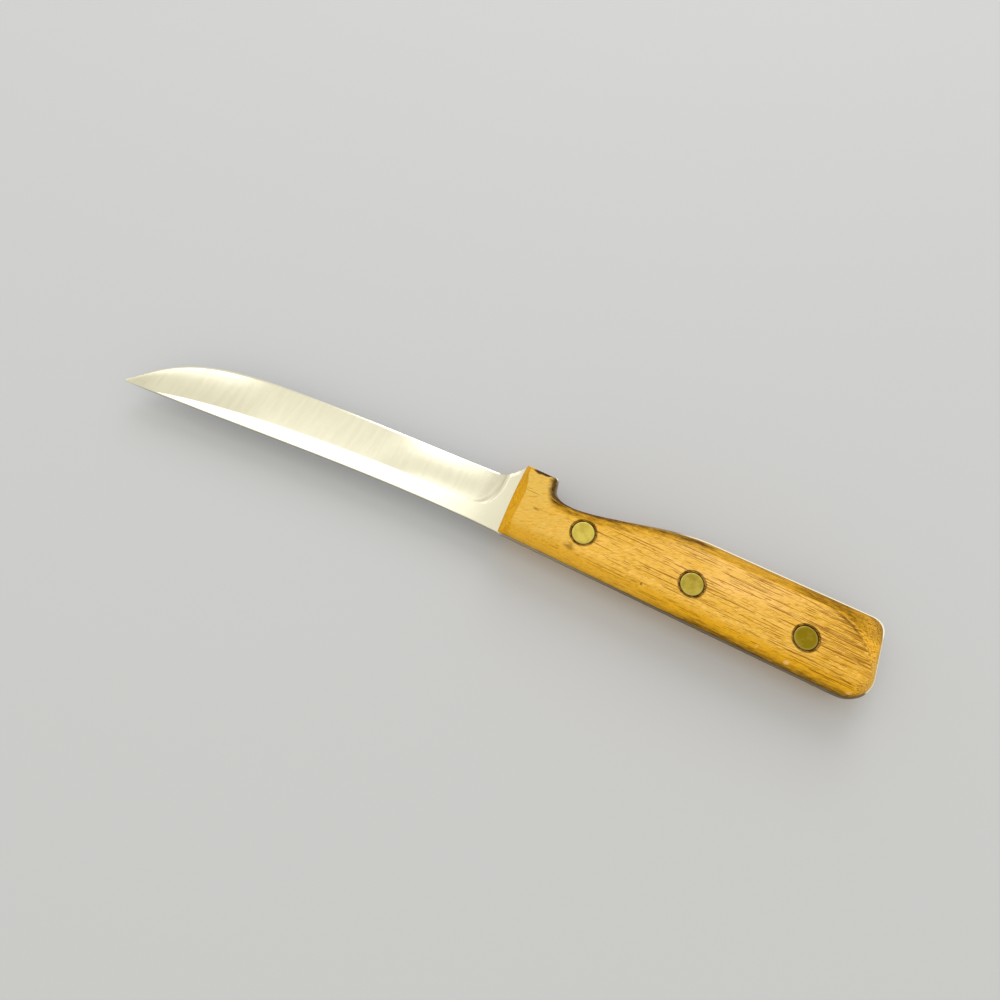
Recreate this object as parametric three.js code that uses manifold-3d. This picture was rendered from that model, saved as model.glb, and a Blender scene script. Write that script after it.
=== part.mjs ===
// Fillet knife: a hollow-ground steel blade with a full tang, two wooden handle scales and three brass
// two-piece rivets. Lengths are in millimetres.
//
// Working frame: X runs from the tip (negative) to the butt (positive), with x = 0 at the handle's front.
// Y runs from the spine to the cutting edge, with y = 0 along the spine of the tang.
// Z = 0 is the middle of the steel. The finished knife is then laid on its left scale, over the origin.

import * as THREE from "three";
import { mergeVertices } from "three/addons/utils/BufferGeometryUtils.js";
import Module from "manifold-3d";

const wasm = await Module();
wasm.setup();

// Steel
const STEEL_THICKNESS = 1.8;
const EDGE_THICKNESS = 0.3;

// Blade outline
const BLADE_LENGTH = 128.4; // front of the handle to the tip
const TIP_SWEEP = 7.9; // how far the tip lies outside the line of the handle's spine
const SPINE_LEAD = 40; // how far the spine keeps the handle's direction
const SPINE_CREST = 0.6; // slight hump of the spine in front of the handle
const SPINE_TAIL = 43.4; // how far the spine keeps its direction behind the tip
const SPINE_TAIL_RISE = 2.7;
const HEEL_SETBACK = 4.9; // bare steel between the handle and the end of the cutting edge
const HEEL_HEIGHT = 17.4; // cutting edge above the spine line at the heel
const HEEL_FILLET = 3;
const HEEL_REACH = 20; // how far the edge keeps its direction in front of the heel
const HEEL_SLOPE = 0.07;
const BELLY_LENGTH = 48.4; // the curved part of the cutting edge, measured back from the tip
const BELLY_HEIGHT = 12.85; // cutting edge above the spine line where it starts to curve
const BELLY_SLOPE = 0.089;
const BELLY_REACH = 30;
const TIP_REACH = 16;
const TIP_ANGLE = 49; // degrees between the cutting edge and the knife's length at the tip

// Hollow grind
const GRIND_START = 9.2; // front of the handle to the rear end of the grind line
const GRIND_BAND = 5.8; // width of the flat band along the spine at that place
const GRIND_LEAD = 30;
const GRIND_LEAD_DROP = 1.5;
const GRIND_RUNOUT = 11.5; // the grind line leaves the spine this far behind the tip
const GRIND_TAIL = 28;
const GRIND_TAIL_RISE = 8;
const GRIND_HOLLOW = 0.8; // 0 is a flat bevel, 1 a hollow that leaves the edge parallel to the flats
const PLUNGE_SETBACK = 4.4; // front of the handle to the end of the grind, at the cutting edge
const PLUNGE_HEIGHT = 15; // spine line to where the end of the grind turns square
const PLUNGE_SLOPE = 0.6; // depth gained per length where the grind starts

// Tang and handle outline
const HANDLE_LENGTH = 112;
const BUTT_HEIGHT = 25.6;
const BUTT_RAKE = 6; // degrees that the butt leans forward
const SPINE_CORNER = 8; // radius between the spine and the butt
const BELLY_CORNER = 4; // length of the rounding between the butt and the belly, on either side
const SWELL_HEIGHT = 24.9; // handle width where the palm swell starts to fall to the waist
const SWELL_RUN = 41.5; // length of that fall
const SWELL_REACH = 13;
const WAIST_HEIGHT = 16.5; // handle width at the waist, behind the guard
const WAIST_REACH = 8.5;
const NOTCH_RUN = 6.2; // foot of the guard to the waist
const NOTCH_REACH = 3.4;
const FOOT_REACH = 2;
const GUARD_HEIGHT = 23.2;
const GUARD_LENGTH = 9.4; // front of the handle to the rear corner of the guard
const GUARD_FLARE = 0.9; // how far the guard's rear wall leans back at its foot
const GUARD_WALL = 3.6; // height of that wall
const GUARD_CORNER = 0.7;
const GUARD_NOSE = 0.3; // steel that shows in front of the scales at the top of the guard
const TANG_PROUD = 0.25; // how far the tang stands out of the wood all round

// Scales
const SCALE_THICKNESS = 7;
const FRONT_BEVEL = 3; // length of the bevel at the front of each scale
const BEVEL_BREAK = 12.5; // spine to where the bevel starts to narrow towards the guard
const BEVEL_TOP = 18; // spine to where it has run out
const FRONT_LEAN = 1; // how far the foot of the front leans forward on the steel at those two heights
const ROUND_SPINE = 2.8; // width of the rounded edge, seen square on, at each side of a scale
const ROUND_BUTT = 4.2;
const ROUND_BELLY = 6;
const ROUND_WAIST = 3.6;
const ROUND_GUARD = 1;
const ROUND_TOP = 3.6;
const FLAT_RAKE = 29; // degrees that the flat face leans forward at the butt
const FLAT_SPINE_CORNER = 4; // corners of the flat face
const FLAT_BELLY_CORNER = 12;
const FLAT_BELLY_RUN = 9;
const FLAT_GUARD_CORNER = 1.6;
const ROUND_ANGLE = 20; // degrees that the rounded edge turns on either side of its mean slope

// Rivets
const FRONT_RIVET = 22.9; // front of the handle to the front rivet
const REAR_RIVET = 22.8; // rear rivet to the butt
const RIVET_HEIGHT = 9; // spine to the rivets
const HEAD_DIAMETER = 6.7;
const HEAD_THICKNESS = 2;
const HEAD_CHAMFER = 0.3;
const HEAD_RECESS = 0.1; // how far a head lies below the flat of the scale
const HEAD_GAP = 0.45; // ring between a head and its counterbore
const POST_DIAMETER = 3.2;
const POST_FIT = 0.1;
const POST_END_GAP = 1.5; // air between the post and the floor of the sleeve
const SLEEVE_WALL = 0.7;
const SLEEVE_FLOOR = 1; // brass between the head's seat and the sleeve's bore
const SLEEVE_END_GAP = 2; // air between the sleeve and the other half's head
const SLEEVE_FIT = 0.1;

// Tessellation
const CURVE_STEPS = 12;
const ROUND_STEPS = 6;
const RIVET_SIDES = 24;
const GRIND_STEPS = 9; // across the blade
const TIP_STEP = 2; // along the blade, by zone
const BLADE_STEP = 5;
const PLUNGE_STEP = 0.5;
const CUT_MARGIN = 1; // how far a cutter reaches past what it cuts
const WELD = 1e-4;

// Sizes that follow from the ones above
const halfSteel = STEEL_THICKNESS / 2;
const faceLevel = halfSteel + SCALE_THICKNESS;
const headLevel = faceLevel - HEAD_RECESS;
const seatLevel = headLevel - HEAD_THICKNESS;
const headRadius = HEAD_DIAMETER / 2;
const postRadius = POST_DIAMETER / 2;
const boreRadius = postRadius + POST_FIT;
const sleeveRadius = boreRadius + SLEEVE_WALL;
const holeRadius = sleeveRadius + SLEEVE_FIT;
const counterboreRadius = headRadius + HEAD_GAP;
const rearRivet = HANDLE_LENGTH - REAR_RIVET;
const rivetPlaces = {
  front: FRONT_RIVET,
  middle: (FRONT_RIVET + rearRivet) / 2,
  rear: rearRivet,
};

// Materials
const finish = (color, roughness, metalness) =>
  new THREE.MeshStandardMaterial({ color, roughness, metalness, flatShading: true });
const steel = finish(0xd9d6c8, 0.3, 1);
const wood = finish(0xd9a24a, 0.55, 0);
const brass = finish(0xb89d3c, 0.35, 1);

const point = (x, y) => new THREE.Vector2(x, y);
const radians = THREE.MathUtils.degToRad;

// Meshes and solids

function solidOf(geometry) {
  const bare = new THREE.BufferGeometry();
  bare.setAttribute("position", geometry.getAttribute("position"));
  bare.setIndex(geometry.getIndex());
  const welded = mergeVertices(bare, WELD);
  const corners = welded.getIndex().array;
  const triVerts = [];
  for (let i = 0; i < corners.length; i += 3) {
    const [a, b, c] = corners.slice(i, i + 3);
    if (a !== b && b !== c && c !== a) triVerts.push(a, b, c);
  }
  const mesh = new wasm.Mesh({
    numProp: 3,
    vertProperties: new Float32Array(welded.getAttribute("position").array),
    triVerts: new Uint32Array(triVerts),
  });
  return new wasm.Manifold(mesh);
}

function geometryOf(solid) {
  const mesh = solid.getMesh();
  const geometry = new THREE.BufferGeometry();
  geometry.setAttribute("position", new THREE.BufferAttribute(new Float32Array(mesh.vertProperties), 3));
  geometry.setIndex(Array.from(mesh.triVerts));
  return geometry;
}

// The same geometry on the other side of the steel, with its faces turned to point outwards again.
function mirrored(geometry) {
  const copy = geometry.clone().scale(1, 1, -1);
  const index = Array.from(copy.getIndex().array);
  for (let i = 0; i < index.length; i += 3) {
    const first = index[i];
    index[i] = index[i + 1];
    index[i + 1] = first;
  }
  copy.setIndex(index);
  return copy;
}

// A closed skin over rings of equal length, capped on the first and the last ring. Rings run anticlockwise
// seen from the side that the stack climbs to, and flatten gives a ring's corners in its own plane.
function skinOf(rings, flatten) {
  const count = rings[0].length;
  const positions = rings.flat().flatMap((corner) => corner.toArray());
  const index = [];
  for (let level = 0; level + 1 < rings.length; level += 1) {
    for (let i = 0; i < count; i += 1) {
      const a = level * count + i;
      const b = level * count + ((i + 1) % count);
      index.push(a, b, b + count, a, b + count, a + count);
    }
  }
  const last = (rings.length - 1) * count;
  const cap = (ring) => THREE.ShapeUtils.triangulateShape(ring.map(flatten), []);
  cap(rings[0]).forEach(([a, b, c]) => index.push(c, b, a));
  cap(rings.at(-1)).forEach(([a, b, c]) => index.push(last + a, last + b, last + c));
  const geometry = new THREE.BufferGeometry();
  geometry.setAttribute("position", new THREE.Float32BufferAttribute(positions, 3));
  geometry.setIndex(index);
  return geometry;
}

// A turned piece about Z from a profile of [radius, height] corners that climbs on its outside.
function turned(profile) {
  const corners = profile.map(([radius, height]) => point(radius, height));
  return new THREE.LatheGeometry(corners, RIVET_SIDES).rotateX(Math.PI / 2);
}

// Curves of the blade

const tip = point(-BLADE_LENGTH, -TIP_SWEEP);
const spineCurve = new THREE.CubicBezierCurve(
  tip,
  point(tip.x + SPINE_TAIL, tip.y + SPINE_TAIL_RISE),
  point(-SPINE_LEAD, SPINE_CREST),
  point(0, 0),
);

const heel = point(-HEEL_SETBACK, HEEL_HEIGHT);
const edgeEnd = point(heel.x - HEEL_FILLET, heel.y - HEEL_FILLET * HEEL_SLOPE);
const bellyStart = point(tip.x + BELLY_LENGTH, BELLY_HEIGHT);
const runCurve = new THREE.CubicBezierCurve(
  edgeEnd,
  point(edgeEnd.x - HEEL_REACH, edgeEnd.y - HEEL_REACH * HEEL_SLOPE),
  point(bellyStart.x + BELLY_REACH, bellyStart.y + BELLY_REACH * BELLY_SLOPE),
  bellyStart,
);
const bellyCurve = new THREE.CubicBezierCurve(
  bellyStart,
  point(bellyStart.x - BELLY_REACH, bellyStart.y - BELLY_REACH * BELLY_SLOPE),
  point(tip.x + TIP_REACH * Math.cos(radians(TIP_ANGLE)), tip.y + TIP_REACH * Math.sin(radians(TIP_ANGLE))),
  tip,
);

// Height of a curve at x, from points in the order of falling x, carried on straight past both ends.
function heightOver(points) {
  return (x) => {
    const after = points.findIndex((corner) => corner.x < x);
    const i = after < 0 ? points.length - 1 : Math.max(after, 1);
    const [from, to] = [points[i - 1], points[i]];
    return from.y + ((to.y - from.y) * (x - from.x)) / (to.x - from.x);
  };
}

const finePoints = (curve) => curve.getPoints(CURVE_STEPS * 4);
const spineHeight = heightOver(finePoints(spineCurve).reverse());
const edgeHeight = heightOver([...finePoints(runCurve), ...finePoints(bellyCurve).slice(1)]);

const grindStart = point(-GRIND_START, GRIND_BAND);
const grindEnd = point(tip.x + GRIND_RUNOUT, spineHeight(tip.x + GRIND_RUNOUT));
const grindCurve = new THREE.CubicBezierCurve(
  grindStart,
  point(grindStart.x - GRIND_LEAD, grindStart.y - GRIND_LEAD_DROP),
  point(grindEnd.x + GRIND_TAIL, grindEnd.y + GRIND_TAIL_RISE),
  grindEnd,
);
const grindHeight = heightOver(finePoints(grindCurve));

// Outline of the handle

// From the spine at the front, round the butt and the belly, to the top of the guard at the front.
// The first values of edge say how far each side lies inside the outline of the tang. The others are the lean
// of the butt and the corners: bellyCorner is measured along the butt and bellyRun along the belly.
function handleCurves(edge) {
  const rake = radians(edge.rake);
  const hub = point(HANDLE_LENGTH - edge.butt - edge.spineCorner, edge.spine + edge.spineCorner);
  const swell = point(GUARD_LENGTH + GUARD_FLARE + NOTCH_RUN + SWELL_RUN, SWELL_HEIGHT - edge.belly);
  const waist = point(GUARD_LENGTH + GUARD_FLARE + NOTCH_RUN, WAIST_HEIGHT - edge.waist);
  const guard = point(GUARD_LENGTH - edge.guard, GUARD_HEIGHT - edge.top);
  const foot = point(guard.x + GUARD_FLARE, guard.y - GUARD_WALL);

  const buttStart = point(Math.cos(rake), Math.sin(rake)).multiplyScalar(edge.spineCorner).add(hub);
  const buttTop = BUTT_HEIGHT - edge.belly;
  const butt = point(buttStart.x - (buttTop - buttStart.y) * Math.tan(rake), buttTop);
  const towards = (from, to, length) => from.clone().add(to.clone().sub(from).setLength(length));

  const path = new THREE.Path();
  path.moveTo(edge.front, edge.spine);
  path.lineTo(hub.x, edge.spine);
  path.absarc(hub.x, hub.y, edge.spineCorner, -Math.PI / 2, rake);
  path.lineTo(...towards(butt, buttStart, edge.bellyCorner));
  path.quadraticCurveTo(...butt, ...towards(butt, swell, edge.bellyRun));
  path.lineTo(...swell);
  path.bezierCurveTo(swell.x - SWELL_REACH, swell.y, waist.x + WAIST_REACH, waist.y, ...waist);
  const pastFoot = towards(foot, guard, -FOOT_REACH);
  path.bezierCurveTo(waist.x - NOTCH_REACH, waist.y, ...pastFoot, ...foot);
  path.lineTo(...towards(guard, foot, edge.guardCorner));
  path.quadraticCurveTo(...guard, guard.x - edge.guardCorner, guard.y);
  path.lineTo(edge.front, guard.y);
  return path;
}

const tangEdge = {
  front: 0,
  spine: 0,
  butt: 0,
  belly: 0,
  waist: 0,
  guard: 0,
  top: 0,
  rake: BUTT_RAKE,
  spineCorner: SPINE_CORNER,
  bellyCorner: BELLY_CORNER,
  bellyRun: BELLY_CORNER,
  guardCorner: GUARD_CORNER,
};

const woodEdge = {
  front: 0,
  spine: TANG_PROUD,
  butt: TANG_PROUD,
  belly: TANG_PROUD,
  waist: TANG_PROUD,
  guard: TANG_PROUD,
  top: TANG_PROUD,
  rake: BUTT_RAKE,
  spineCorner: SPINE_CORNER - TANG_PROUD,
  bellyCorner: BELLY_CORNER,
  bellyRun: BELLY_CORNER,
  guardCorner: GUARD_CORNER,
};

const flatEdge = {
  front: FRONT_BEVEL,
  spine: ROUND_SPINE,
  butt: ROUND_BUTT,
  belly: ROUND_BELLY,
  waist: ROUND_WAIST,
  guard: ROUND_GUARD,
  top: ROUND_TOP,
  rake: FLAT_RAKE,
  spineCorner: FLAT_SPINE_CORNER,
  bellyCorner: FLAT_BELLY_CORNER,
  bellyRun: FLAT_BELLY_RUN,
  guardCorner: FLAT_GUARD_CORNER,
};

// Blade

function blankShape() {
  const nose = point(-GUARD_NOSE, GUARD_HEIGHT);
  const filletStart = heel.clone().add(nose.clone().sub(heel).setLength(HEEL_FILLET));
  const shape = new THREE.Shape();
  handleCurves(tangEdge).curves.forEach((curve) => shape.add(curve));
  shape.add(new THREE.LineCurve(point(0, GUARD_HEIGHT), nose));
  shape.add(new THREE.LineCurve(nose, filletStart));
  shape.add(new THREE.QuadraticBezierCurve(filletStart, heel, edgeEnd));
  shape.add(runCurve);
  shape.add(bellyCurve);
  shape.add(spineCurve);
  for (const x of Object.values(rivetPlaces)) {
    shape.holes.push(new THREE.Path().absarc(x, RIVET_HEIGHT, holeRadius, 0, 2 * Math.PI));
  }
  return shape;
}

// Depth of the grind below the flat side of the steel, negative where the wheel passes above it.
// Across the blade it is the parabola of a hollow from the grind line to the cutting edge. At its rear end
// it climbs out along a quarter ellipse from the grind line, and then square across to the edge.
function grindDepth(x, y) {
  const inBlade = Math.max(x, tip.x);
  const low = grindHeight(inBlade);
  const across = (y - low) / (edgeHeight(inBlade) - low);
  const full = (STEEL_THICKNESS - EDGE_THICKNESS) / 2;
  const hollow = full * across * (1 + GRIND_HOLLOW * (1 - across));
  const climb = THREE.MathUtils.clamp((PLUNGE_HEIGHT - y) / (PLUNGE_HEIGHT - GRIND_BAND), 0, 1);
  const plunge = -GRIND_START + (GRIND_START - PLUNGE_SETBACK) * Math.sqrt(1 - climb * climb);
  const ramp = (plunge - x) * PLUNGE_SLOPE;
  return Math.max(Math.min(hollow, ramp), -CUT_MARGIN);
}

function grindStations() {
  const rear = -PLUNGE_SETBACK + 2 * CUT_MARGIN;
  const zones = [
    [tip.x - CUT_MARGIN, bellyStart.x - CUT_MARGIN, TIP_STEP],
    [bellyStart.x - CUT_MARGIN, -GRIND_START - CUT_MARGIN, BLADE_STEP],
    [-GRIND_START - CUT_MARGIN, rear, PLUNGE_STEP],
  ];
  const stations = zones.flatMap(([from, to, step]) => {
    const count = Math.ceil((to - from) / step);
    return Array.from({ length: count }, (_, i) => from + ((to - from) * i) / count);
  });
  return [...stations, rear];
}

// What the wheel takes off the right side: a bar whose underside is the ground surface.
function grindCutter() {
  const top = halfSteel + 2 * CUT_MARGIN;
  const sections = grindStations().map((x) => {
    const inBlade = Math.max(x, tip.x);
    const low = grindHeight(inBlade) - CUT_MARGIN;
    const high = edgeHeight(inBlade) + CUT_MARGIN;
    const under = Array.from({ length: GRIND_STEPS + 1 }, (_, i) => {
      const y = low + ((high - low) * i) / GRIND_STEPS;
      return new THREE.Vector3(x, y, halfSteel - grindDepth(x, y));
    });
    const over = under.map((corner) => new THREE.Vector3(x, corner.y, top)).reverse();
    return [...under, ...over];
  });
  return skinOf(sections, (corner) => point(corner.y, corner.z));
}

function bladeGeometry() {
  const blank = new THREE.ExtrudeGeometry(blankShape(), {
    depth: STEEL_THICKNESS,
    bevelEnabled: false,
    curveSegments: CURVE_STEPS,
  }).translate(0, 0, -halfSteel);
  const cutter = grindCutter();
  return geometryOf(solidOf(blank).subtract(solidOf(cutter)).subtract(solidOf(mirrored(cutter))));
}

// Scales

function outlinePoints(path) {
  const steps = (curve) => (curve.isLineCurve ? 1 : CURVE_STEPS);
  const corners = path.curves.flatMap((curve) => curve.getPoints(steps(curve)).slice(1));
  return [path.curves[0].getPoint(0), ...corners];
}

// The front of a scale, from the top of the guard to the spine: x on the steel, and x at the flat face.
const frontEdge = [
  [-GUARD_NOSE, 0],
  [-FRONT_LEAN, 0],
  [-FRONT_LEAN, FRONT_BEVEL],
  [0, FRONT_BEVEL],
];

// The right scale. Rings climb from the wood's edge on the tang to the flat face along an arc, so that the
// edge is rounded and still meets the flat in a crease. The front leans evenly with the height instead.
function scaleGeometry() {
  const front = [point(0, BEVEL_TOP), point(0, BEVEL_BREAK)];
  const outer = [...outlinePoints(handleCurves(woodEdge)), ...front];
  const inner = [...outlinePoints(handleCurves(flatEdge)), ...front];
  const turn = radians(ROUND_ANGLE);
  const radius = Math.SQRT1_2 / Math.sin(turn);
  const rings = Array.from({ length: ROUND_STEPS + 1 }, (_, level) => {
    const angle = turn * ((2 * level) / ROUND_STEPS - 1);
    const along = radius * (Math.sin(angle) + Math.sin(turn));
    const bulge = radius * (Math.cos(angle) - Math.cos(turn));
    const inward = (along - bulge) * Math.SQRT1_2;
    const rise = (along + bulge) * Math.SQRT1_2;
    return outer.map((from, i) => {
      const place = from.clone().lerp(inner[i], inward);
      const ends = frontEdge[(i + front.length + 1) % outer.length];
      if (ends) place.x = THREE.MathUtils.lerp(...ends, rise);
      return new THREE.Vector3(place.x, place.y, halfSteel + SCALE_THICKNESS * rise);
    });
  });
  const hole = turned([
    [0, halfSteel - CUT_MARGIN],
    [holeRadius, halfSteel - CUT_MARGIN],
    [holeRadius, seatLevel],
    [counterboreRadius, seatLevel],
    [counterboreRadius, faceLevel + CUT_MARGIN],
    [0, faceLevel + CUT_MARGIN],
  ]);
  const drilled = Object.values(rivetPlaces).reduce(
    (scale, x) => scale.subtract(solidOf(hole.clone().translate(x, RIVET_HEIGHT, 0))),
    solidOf(skinOf(rings, (corner) => point(corner.x, corner.y))),
  );
  return geometryOf(drilled);
}

// Rivets

// The solid half, whose head lies in the right scale.
function postGeometry() {
  const floor = -seatLevel + SLEEVE_FLOOR;
  return turned([
    [0, floor + POST_END_GAP],
    [postRadius, floor + POST_END_GAP],
    [postRadius, seatLevel],
    [headRadius, seatLevel],
    [headRadius, headLevel - HEAD_CHAMFER],
    [headRadius - HEAD_CHAMFER, headLevel],
    [0, headLevel],
  ]);
}

// The hollow half, whose head lies in the left scale and whose sleeve takes the post.
function sleeveGeometry() {
  const mouth = seatLevel - SLEEVE_END_GAP;
  const floor = -seatLevel + SLEEVE_FLOOR;
  return turned([
    [0, -headLevel],
    [headRadius - HEAD_CHAMFER, -headLevel],
    [headRadius, -headLevel + HEAD_CHAMFER],
    [headRadius, -seatLevel],
    [sleeveRadius, -seatLevel],
    [sleeveRadius, mouth],
    [boreRadius, mouth],
    [boreRadius, floor],
    [0, floor],
  ]);
}

// Assembly

const knife = new THREE.Group();

function addPiece(name, geometry, material) {
  const piece = new THREE.Mesh(geometry, material.clone());
  piece.name = name;
  knife.add(piece);
  return piece;
}

const rightScale = scaleGeometry();
addPiece("blade", bladeGeometry(), steel);
addPiece("right_scale", rightScale, wood);
addPiece("left_scale", mirrored(rightScale), wood);
for (const [place, x] of Object.entries(rivetPlaces)) {
  addPiece(`${place}_rivet_post`, postGeometry(), brass).position.set(x, RIVET_HEIGHT, 0);
  addPiece(`${place}_rivet_sleeve`, sleeveGeometry(), brass).position.set(x, RIVET_HEIGHT, 0);
}

const box = new THREE.Box3().setFromObject(knife);
const middle = box.getCenter(new THREE.Vector3());
knife.position.set(-middle.x, -middle.y, -box.min.z);

const filletKnife = new THREE.Group();
filletKnife.add(knife);

export default filletKnife;
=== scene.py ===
"""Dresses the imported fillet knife: hollow-ground steel blade, wooden scales and brass rivets.

Working frame of the shapes, in metres: X runs from the tip (negative) to the butt (positive), with x = 0 at
the front of the handle. Y runs from the spine to the cutting edge, with y = 0 along the spine of the tang.
Z = 0 is the middle of the steel. placed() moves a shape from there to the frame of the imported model.
"""

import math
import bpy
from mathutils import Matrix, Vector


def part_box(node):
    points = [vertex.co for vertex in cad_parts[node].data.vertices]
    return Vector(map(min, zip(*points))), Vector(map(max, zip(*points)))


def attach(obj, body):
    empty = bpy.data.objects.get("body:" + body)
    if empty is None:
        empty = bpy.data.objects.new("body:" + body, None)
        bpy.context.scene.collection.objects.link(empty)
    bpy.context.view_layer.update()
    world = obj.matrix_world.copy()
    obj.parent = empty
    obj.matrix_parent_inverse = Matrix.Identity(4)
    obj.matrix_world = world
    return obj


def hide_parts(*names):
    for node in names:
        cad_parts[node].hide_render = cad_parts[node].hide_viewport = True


bl_info = {
    "name": "Fillet Knife",
    "version": (1, 0, 0),
    "blender": (4, 5, 0),
    "location": "View3D > Sidebar > Knife",
    "description": "Builds a full-tang fillet knife with a hollow-ground blade, and its stage",
    "category": "Add Mesh",
}

from functools import partial, reduce
from typing import NamedTuple

import bmesh
import bpy
import numpy as np
from bpy.props import FloatProperty, FloatVectorProperty, PointerProperty
from mathutils import Vector

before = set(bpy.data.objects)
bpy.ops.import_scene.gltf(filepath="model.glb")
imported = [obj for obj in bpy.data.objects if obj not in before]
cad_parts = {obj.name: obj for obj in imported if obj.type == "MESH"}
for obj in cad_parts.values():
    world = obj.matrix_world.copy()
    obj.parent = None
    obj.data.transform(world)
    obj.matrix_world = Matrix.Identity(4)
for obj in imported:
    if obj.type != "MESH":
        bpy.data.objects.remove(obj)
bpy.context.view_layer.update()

MM = 0.001
BODY = "root"

# The rivets from the front, and how tarnished each is
RIVETS = {"front": 0.0, "middle": 0.38, "rear": 0.95}

# Largest turn between two faces that still look smooth, in degrees, for each slot
SMOOTH_TURN = {"steel": 24, "wood": 40, "brass": 40}

# Points closer than WELD are one point, and faces thinner than a sliver are taken out, in metres
WELD = 2e-7
SLIVER = 1e-8
DRILLED_SLIVER = 1e-6


# Settings that a user would change


def length(name, description, millimetres):
    """A length property with its default given in millimetres."""
    return FloatProperty(
        name=name,
        description=description,
        default=millimetres * MM,
        precision=5,
        unit="LENGTH",
        subtype="DISTANCE",
    )


def angle(name, description, degrees):
    """An angle property with its default given in degrees."""
    return FloatProperty(
        name=name, description=description, default=math.radians(degrees), unit="ROTATION", subtype="ANGLE"
    )


def share(name, description, value):
    """A bare number property."""
    return FloatProperty(name=name, description=description, default=value, precision=3)


def colour(name, description, *light):
    """A colour property, from its red, green and blue in linear light."""
    return FloatVectorProperty(
        name=name, description=description, default=light, size=3, min=0.0, max=4.0, subtype="COLOR"
    )


def place(name, description, *metres):
    """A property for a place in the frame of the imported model."""
    return FloatVectorProperty(
        name=name, description=description, default=metres, size=3, unit="LENGTH", subtype="TRANSLATION"
    )


class KnifeBladeSizes(bpy.types.PropertyGroup):
    """Sizes of the steel in front of the handle."""

    thickness: length("Steel", "Thickness of the steel", 1.8)
    edge_thickness: length("Edge", "Thickness of the steel behind the sharpened bevel", 0.3)
    sharp_width: length("Sharpened bevel", "Width of the sharpened bevel", 0.55)
    sharp_thickness: length("Sharp edge", "Thickness left at the sharp edge", 0.05)
    chamfer: length("Chamfer", "Broken corner along the spine and round the tang", 0.12)
    blade_length: length("Blade length", "Front of the handle to the tip", 128.4)
    tip_sweep: length("Tip sweep", "How far the tip lies outside the line of the spine", 7.9)
    spine_lead: length("Spine lead", "How far the spine keeps the direction of the handle", 40)
    spine_crest: length("Spine crest", "Slight hump of the spine in front of the handle", 0.6)
    spine_tail: length("Spine tail", "How far the spine keeps its direction behind the tip", 43.4)
    spine_tail_rise: length("Spine tail rise", "Rise of the spine over that length", 2.7)
    heel_setback: length("Heel setback", "Bare steel between the handle and the end of the edge", 4.9)
    heel_height: length("Heel height", "Cutting edge above the spine line at the heel", 17.4)
    heel_fillet: length("Heel fillet", "Rounding at the heel", 3)
    heel_reach: length("Heel reach", "How far the edge keeps its direction in front of the heel", 20)
    heel_slope: share("Heel slope", "Slope of the cutting edge at the heel", 0.07)
    belly_length: length("Belly length", "Curved part of the edge, measured back from the tip", 48.4)
    belly_height: length("Belly height", "Cutting edge above the spine line where it starts to curve", 12.85)
    belly_slope: share("Belly slope", "Slope of the cutting edge where it starts to curve", 0.089)
    belly_reach: length("Belly reach", "How far the edge keeps that slope", 30)
    tip_reach: length("Tip reach", "How far the edge keeps its direction behind the tip", 16)
    tip_angle: angle("Tip angle", "Angle between the edge and the length of the knife at the tip", 49)
    grind_start: length("Grind start", "Front of the handle to the rear end of the grind line", 9.2)
    grind_band: length("Flat band", "Width of the flat band along the spine at that place", 5.8)
    grind_lead: length("Grind lead", "How far the grind line keeps its direction at the rear", 30)
    grind_lead_drop: length("Grind lead drop", "Fall of the grind line over that length", 1.5)
    grind_runout: length("Grind run-out", "Where the grind line leaves the spine, behind the tip", 11.5)
    grind_tail: length("Grind tail", "How far the grind line keeps its direction at the tip", 28)
    grind_tail_rise: length("Grind tail rise", "Rise of the grind line over that length", 8)
    grind_hollow: share("Hollow", "0 is a flat bevel, 1 leaves the edge parallel to the flats", 1.2)
    grind_ease: share("Hollow ease", "How much of the hollow is lost in the middle of the blade", 1.1)
    plunge_setback: length("Plunge setback", "Front of the handle to the end of the grind", 4.4)
    plunge_height: length("Plunge height", "Spine line to where the end of the grind turns square", 15)
    plunge_slope: share("Plunge slope", "Depth gained per length where the grind starts", 0.6)


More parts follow.
